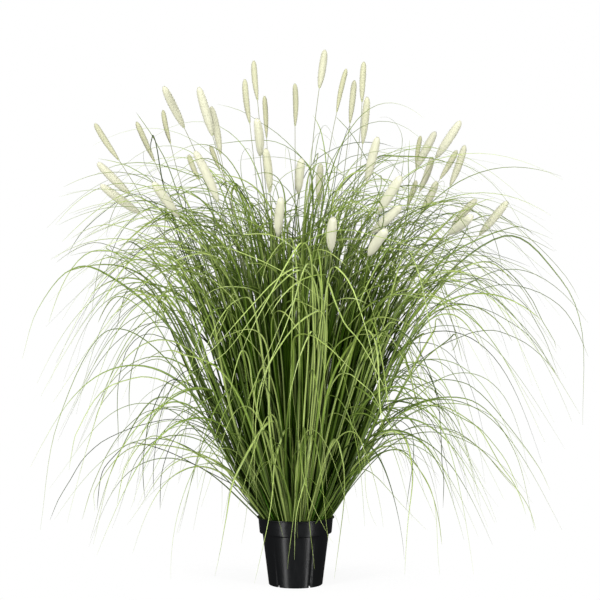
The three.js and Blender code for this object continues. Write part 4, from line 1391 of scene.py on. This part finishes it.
def plumeMaterial():
    # Cream with a darker heart (painted shade between the bristles), paler on thick heads, and lifted with
    # painted light on those that nod to the front, whose seen side faces down, away from the lamps.
    material, tree, shader = newMaterial("plume_plastic", (0.7, 0.7, 0.5), 0.8, 0.15)
    outward = attribute(tree, "outward")
    # A little darker where the outward value is low: painted shade between the bristles.
    thin = ramp(tree, outward, [
        (0.0, (0.53, 0.53, 0.32)),
        (0.5, (0.55, 0.55, 0.34)),
        (1.0, (0.57, 0.57, 0.37)),
    ])
    thick = ramp(tree, outward, [
        (0.0, (0.66, 0.655, 0.5)),
        (0.5, (0.68, 0.675, 0.52)),
        (1.0, (0.7, 0.695, 0.54)),
    ])
    cream = mixColour(tree, attribute(tree, "tint"), thin, thick)
    # The level value holds the painted light on heads that nod to the front.
    cream = mixColour(tree, 1.0, cream, attribute(tree, "level"), "MULTIPLY")
    foot = calculate(tree, "LESS_THAN", attribute(tree, "along"), 0.05)
    green = mixColour(tree, calculate(tree, "MULTIPLY", foot, 0.5), cream, (0.4, 0.45, 0.2))
    tree.links.new(green, shader.inputs["Base Color"])
    shader.inputs["Sheen Weight"].default_value = 0.4
    shader.inputs["Sheen Roughness"].default_value = 0.5
    shader.inputs["Sheen Tint"].default_value = (1, 0.98, 0.82, 1)
    # The bristles catch the light as one soft surface: mostly as the head faces, and a little as they do.
    own = addNode(tree, "ShaderNodeNewGeometry").outputs["Normal"]
    whole = addNode(tree, "ShaderNodeAttribute", attribute_name="facing").outputs["Vector"]
    blend = addNode(tree, "ShaderNodeVectorMath", operation="MULTIPLY_ADD")
    blend.inputs[1].default_value = [floret["facing"]] * 3
    tree.links.new(whole, blend.inputs[0])
    tree.links.new(own, blend.inputs[2])
    soft = addNode(tree, "ShaderNodeVectorMath", operation="NORMALIZE")
    tree.links.new(blend.outputs[0], soft.inputs[0])
    tree.links.new(soft.outputs[0], shader.inputs["Normal"])
    return material


def potMaterial():
    material, tree, shader = newMaterial("pot_plastic", (0.006, 0.0064, 0.007), 0.24, 0.4)
    scuffs = noise(tree, 160, 4, (1, 1, 0.15))
    rough = calculate(tree, "MULTIPLY_ADD", scuffs, 0.16, 0.17)
    tree.links.new(rough, shader.inputs["Roughness"])
    return material


def fillingMaterial():
    material, tree, shader = newMaterial("filling", (0.012, 0.01, 0.008), 0.95, 0.2)
    grain = noise(tree, 220, 4)
    colour = ramp(tree, grain, [(0.35, (0.006, 0.005, 0.004)), (0.7, (0.03, 0.026, 0.018))])
    tree.links.new(colour, shader.inputs["Base Color"])
    return material


def makeStage():
    # White floor: the camera sees near-white with a faint shadow, and other rays see a dull matt floor.
    corners = np.array([[-1, -1, 0], [1, -1, 0], [1, 1, 0], [-1, 1, 0]]) * stageFloor["half"]
    plane = newMesh("floor", corners, np.array([[0, 1, 2, 3]]))
    plane.location.z = -stageFloor["drop"]
    plane.visible_glossy = False
    plane.visible_shadow = False
    material = bpy.data.materials.new("floor_white")
    material.cycles.emission_sampling = "NONE"
    material.use_nodes = True
    tree = material.node_tree
    tree.nodes.clear()
    path = addNode(tree, "ShaderNodeLightPath")
    white = addNode(tree, "ShaderNodeEmission")
    white.inputs["Strength"].default_value = stageFloor["glow"]
    shaded = addNode(tree, "ShaderNodeBsdfDiffuse")
    shaded.inputs["Color"].default_value = [stageFloor["shaded"]] * 3 + [1]
    both = addNode(tree, "ShaderNodeAddShader")
    matt = addNode(tree, "ShaderNodeBsdfDiffuse")
    matt.inputs["Color"].default_value = [stageFloor["matt"]] * 3 + [1]
    mix = addNode(tree, "ShaderNodeMixShader")
    output = addNode(tree, "ShaderNodeOutputMaterial")
    tree.links.new(white.outputs[0], both.inputs[0])
    tree.links.new(shaded.outputs[0], both.inputs[1])
    clear = addNode(tree, "ShaderNodeBsdfTransparent")
    patch = addNode(tree, "ShaderNodeMixShader")
    place = addNode(tree, "ShaderNodeTexCoord").outputs["Object"]
    reach = addNode(tree, "ShaderNodeVectorMath", operation="LENGTH")
    tree.links.new(place, reach.inputs[0])
    fade = addNode(tree, "ShaderNodeMapRange", interpolation_type="SMOOTHSTEP")
    fade.inputs["From Min"].default_value = stageFloor["patchFrom"]
    fade.inputs["From Max"].default_value = stageFloor["patchTo"]
    tree.links.new(reach.outputs["Value"], fade.inputs["Value"])
    tree.links.new(fade.outputs["Result"], patch.inputs[0])
    tree.links.new(both.outputs[0], patch.inputs[1])
    tree.links.new(clear.outputs[0], patch.inputs[2])
    tree.links.new(path.outputs["Is Camera Ray"], mix.inputs[0])
    tree.links.new(matt.outputs[0], mix.inputs[1])
    tree.links.new(patch.outputs[0], mix.inputs[2])
    tree.links.new(mix.outputs[0], output.inputs["Surface"])
    plane.data.materials.append(material)


def makeWorld():
    world = bpy.data.worlds.new("studio")
    world.use_nodes = True
    bpy.context.scene.world = world
    tree = world.node_tree
    path = addNode(tree, "ShaderNodeLightPath")
    background = tree.nodes["Background"]
    background.inputs["Color"].default_value = (1, 1, 1, 1)
    more = sky["shown"] - sky["felt"]
    less = sky["mirrored"] - sky["felt"]
    strength = calculate(tree, "MULTIPLY_ADD", path.outputs["Is Camera Ray"], more, sky["felt"])
    strength = calculate(tree, "MULTIPLY_ADD", path.outputs["Is Glossy Ray"], less, strength)
    tree.links.new(strength, background.inputs["Strength"])


def makeLights():
    for name, box in softboxes.items():
        light = bpy.data.lights.new(name, "AREA")
        light.shape = "RECTANGLE"
        light.size, light.size_y = box["size"]
        light.energy = box["power"]
        softbox = bpy.data.objects.new(name, light)
        softbox.location = box["place"]
        aim = Vector(box["target"]) - Vector(box["place"])
        softbox.rotation_euler = aim.to_track_quat("-Z", "Y").to_euler()
        softbox.visible_diffuse = not name.startswith("strip")
        bpy.context.scene.collection.objects.link(softbox)


def makeCamera():
    data = bpy.data.cameras.new("camera")
    data.lens = camera["focal"]
    data.sensor_width = camera["sensor"]
    seer = bpy.data.objects.new("camera", data)
    seer.location = camera["place"]
    seer.rotation_euler = (math.pi / 2, 0, 0)
    bpy.context.scene.collection.objects.link(seer)
    bpy.context.scene.camera = seer
    bpy.context.scene.view_settings.view_transform = "Standard"


makePot(potMaterial())
makeFilling(fillingMaterial())
print("pot and filling made")
bladeLook = bladeMaterial()
for tuftNumber in range(tufts["count"]):
    print("tuft", tuftNumber + 1, "strands:", makeTuft(tuftNumber, bladeLook))
plumeLook = plumeMaterial()
for headNumber, oneHead in enumerate(heads):
    makePlume(headNumber, oneHead, plumeLook)
print("plumes made")
makeStage()
makeWorld()
makeLights()
makeCamera()
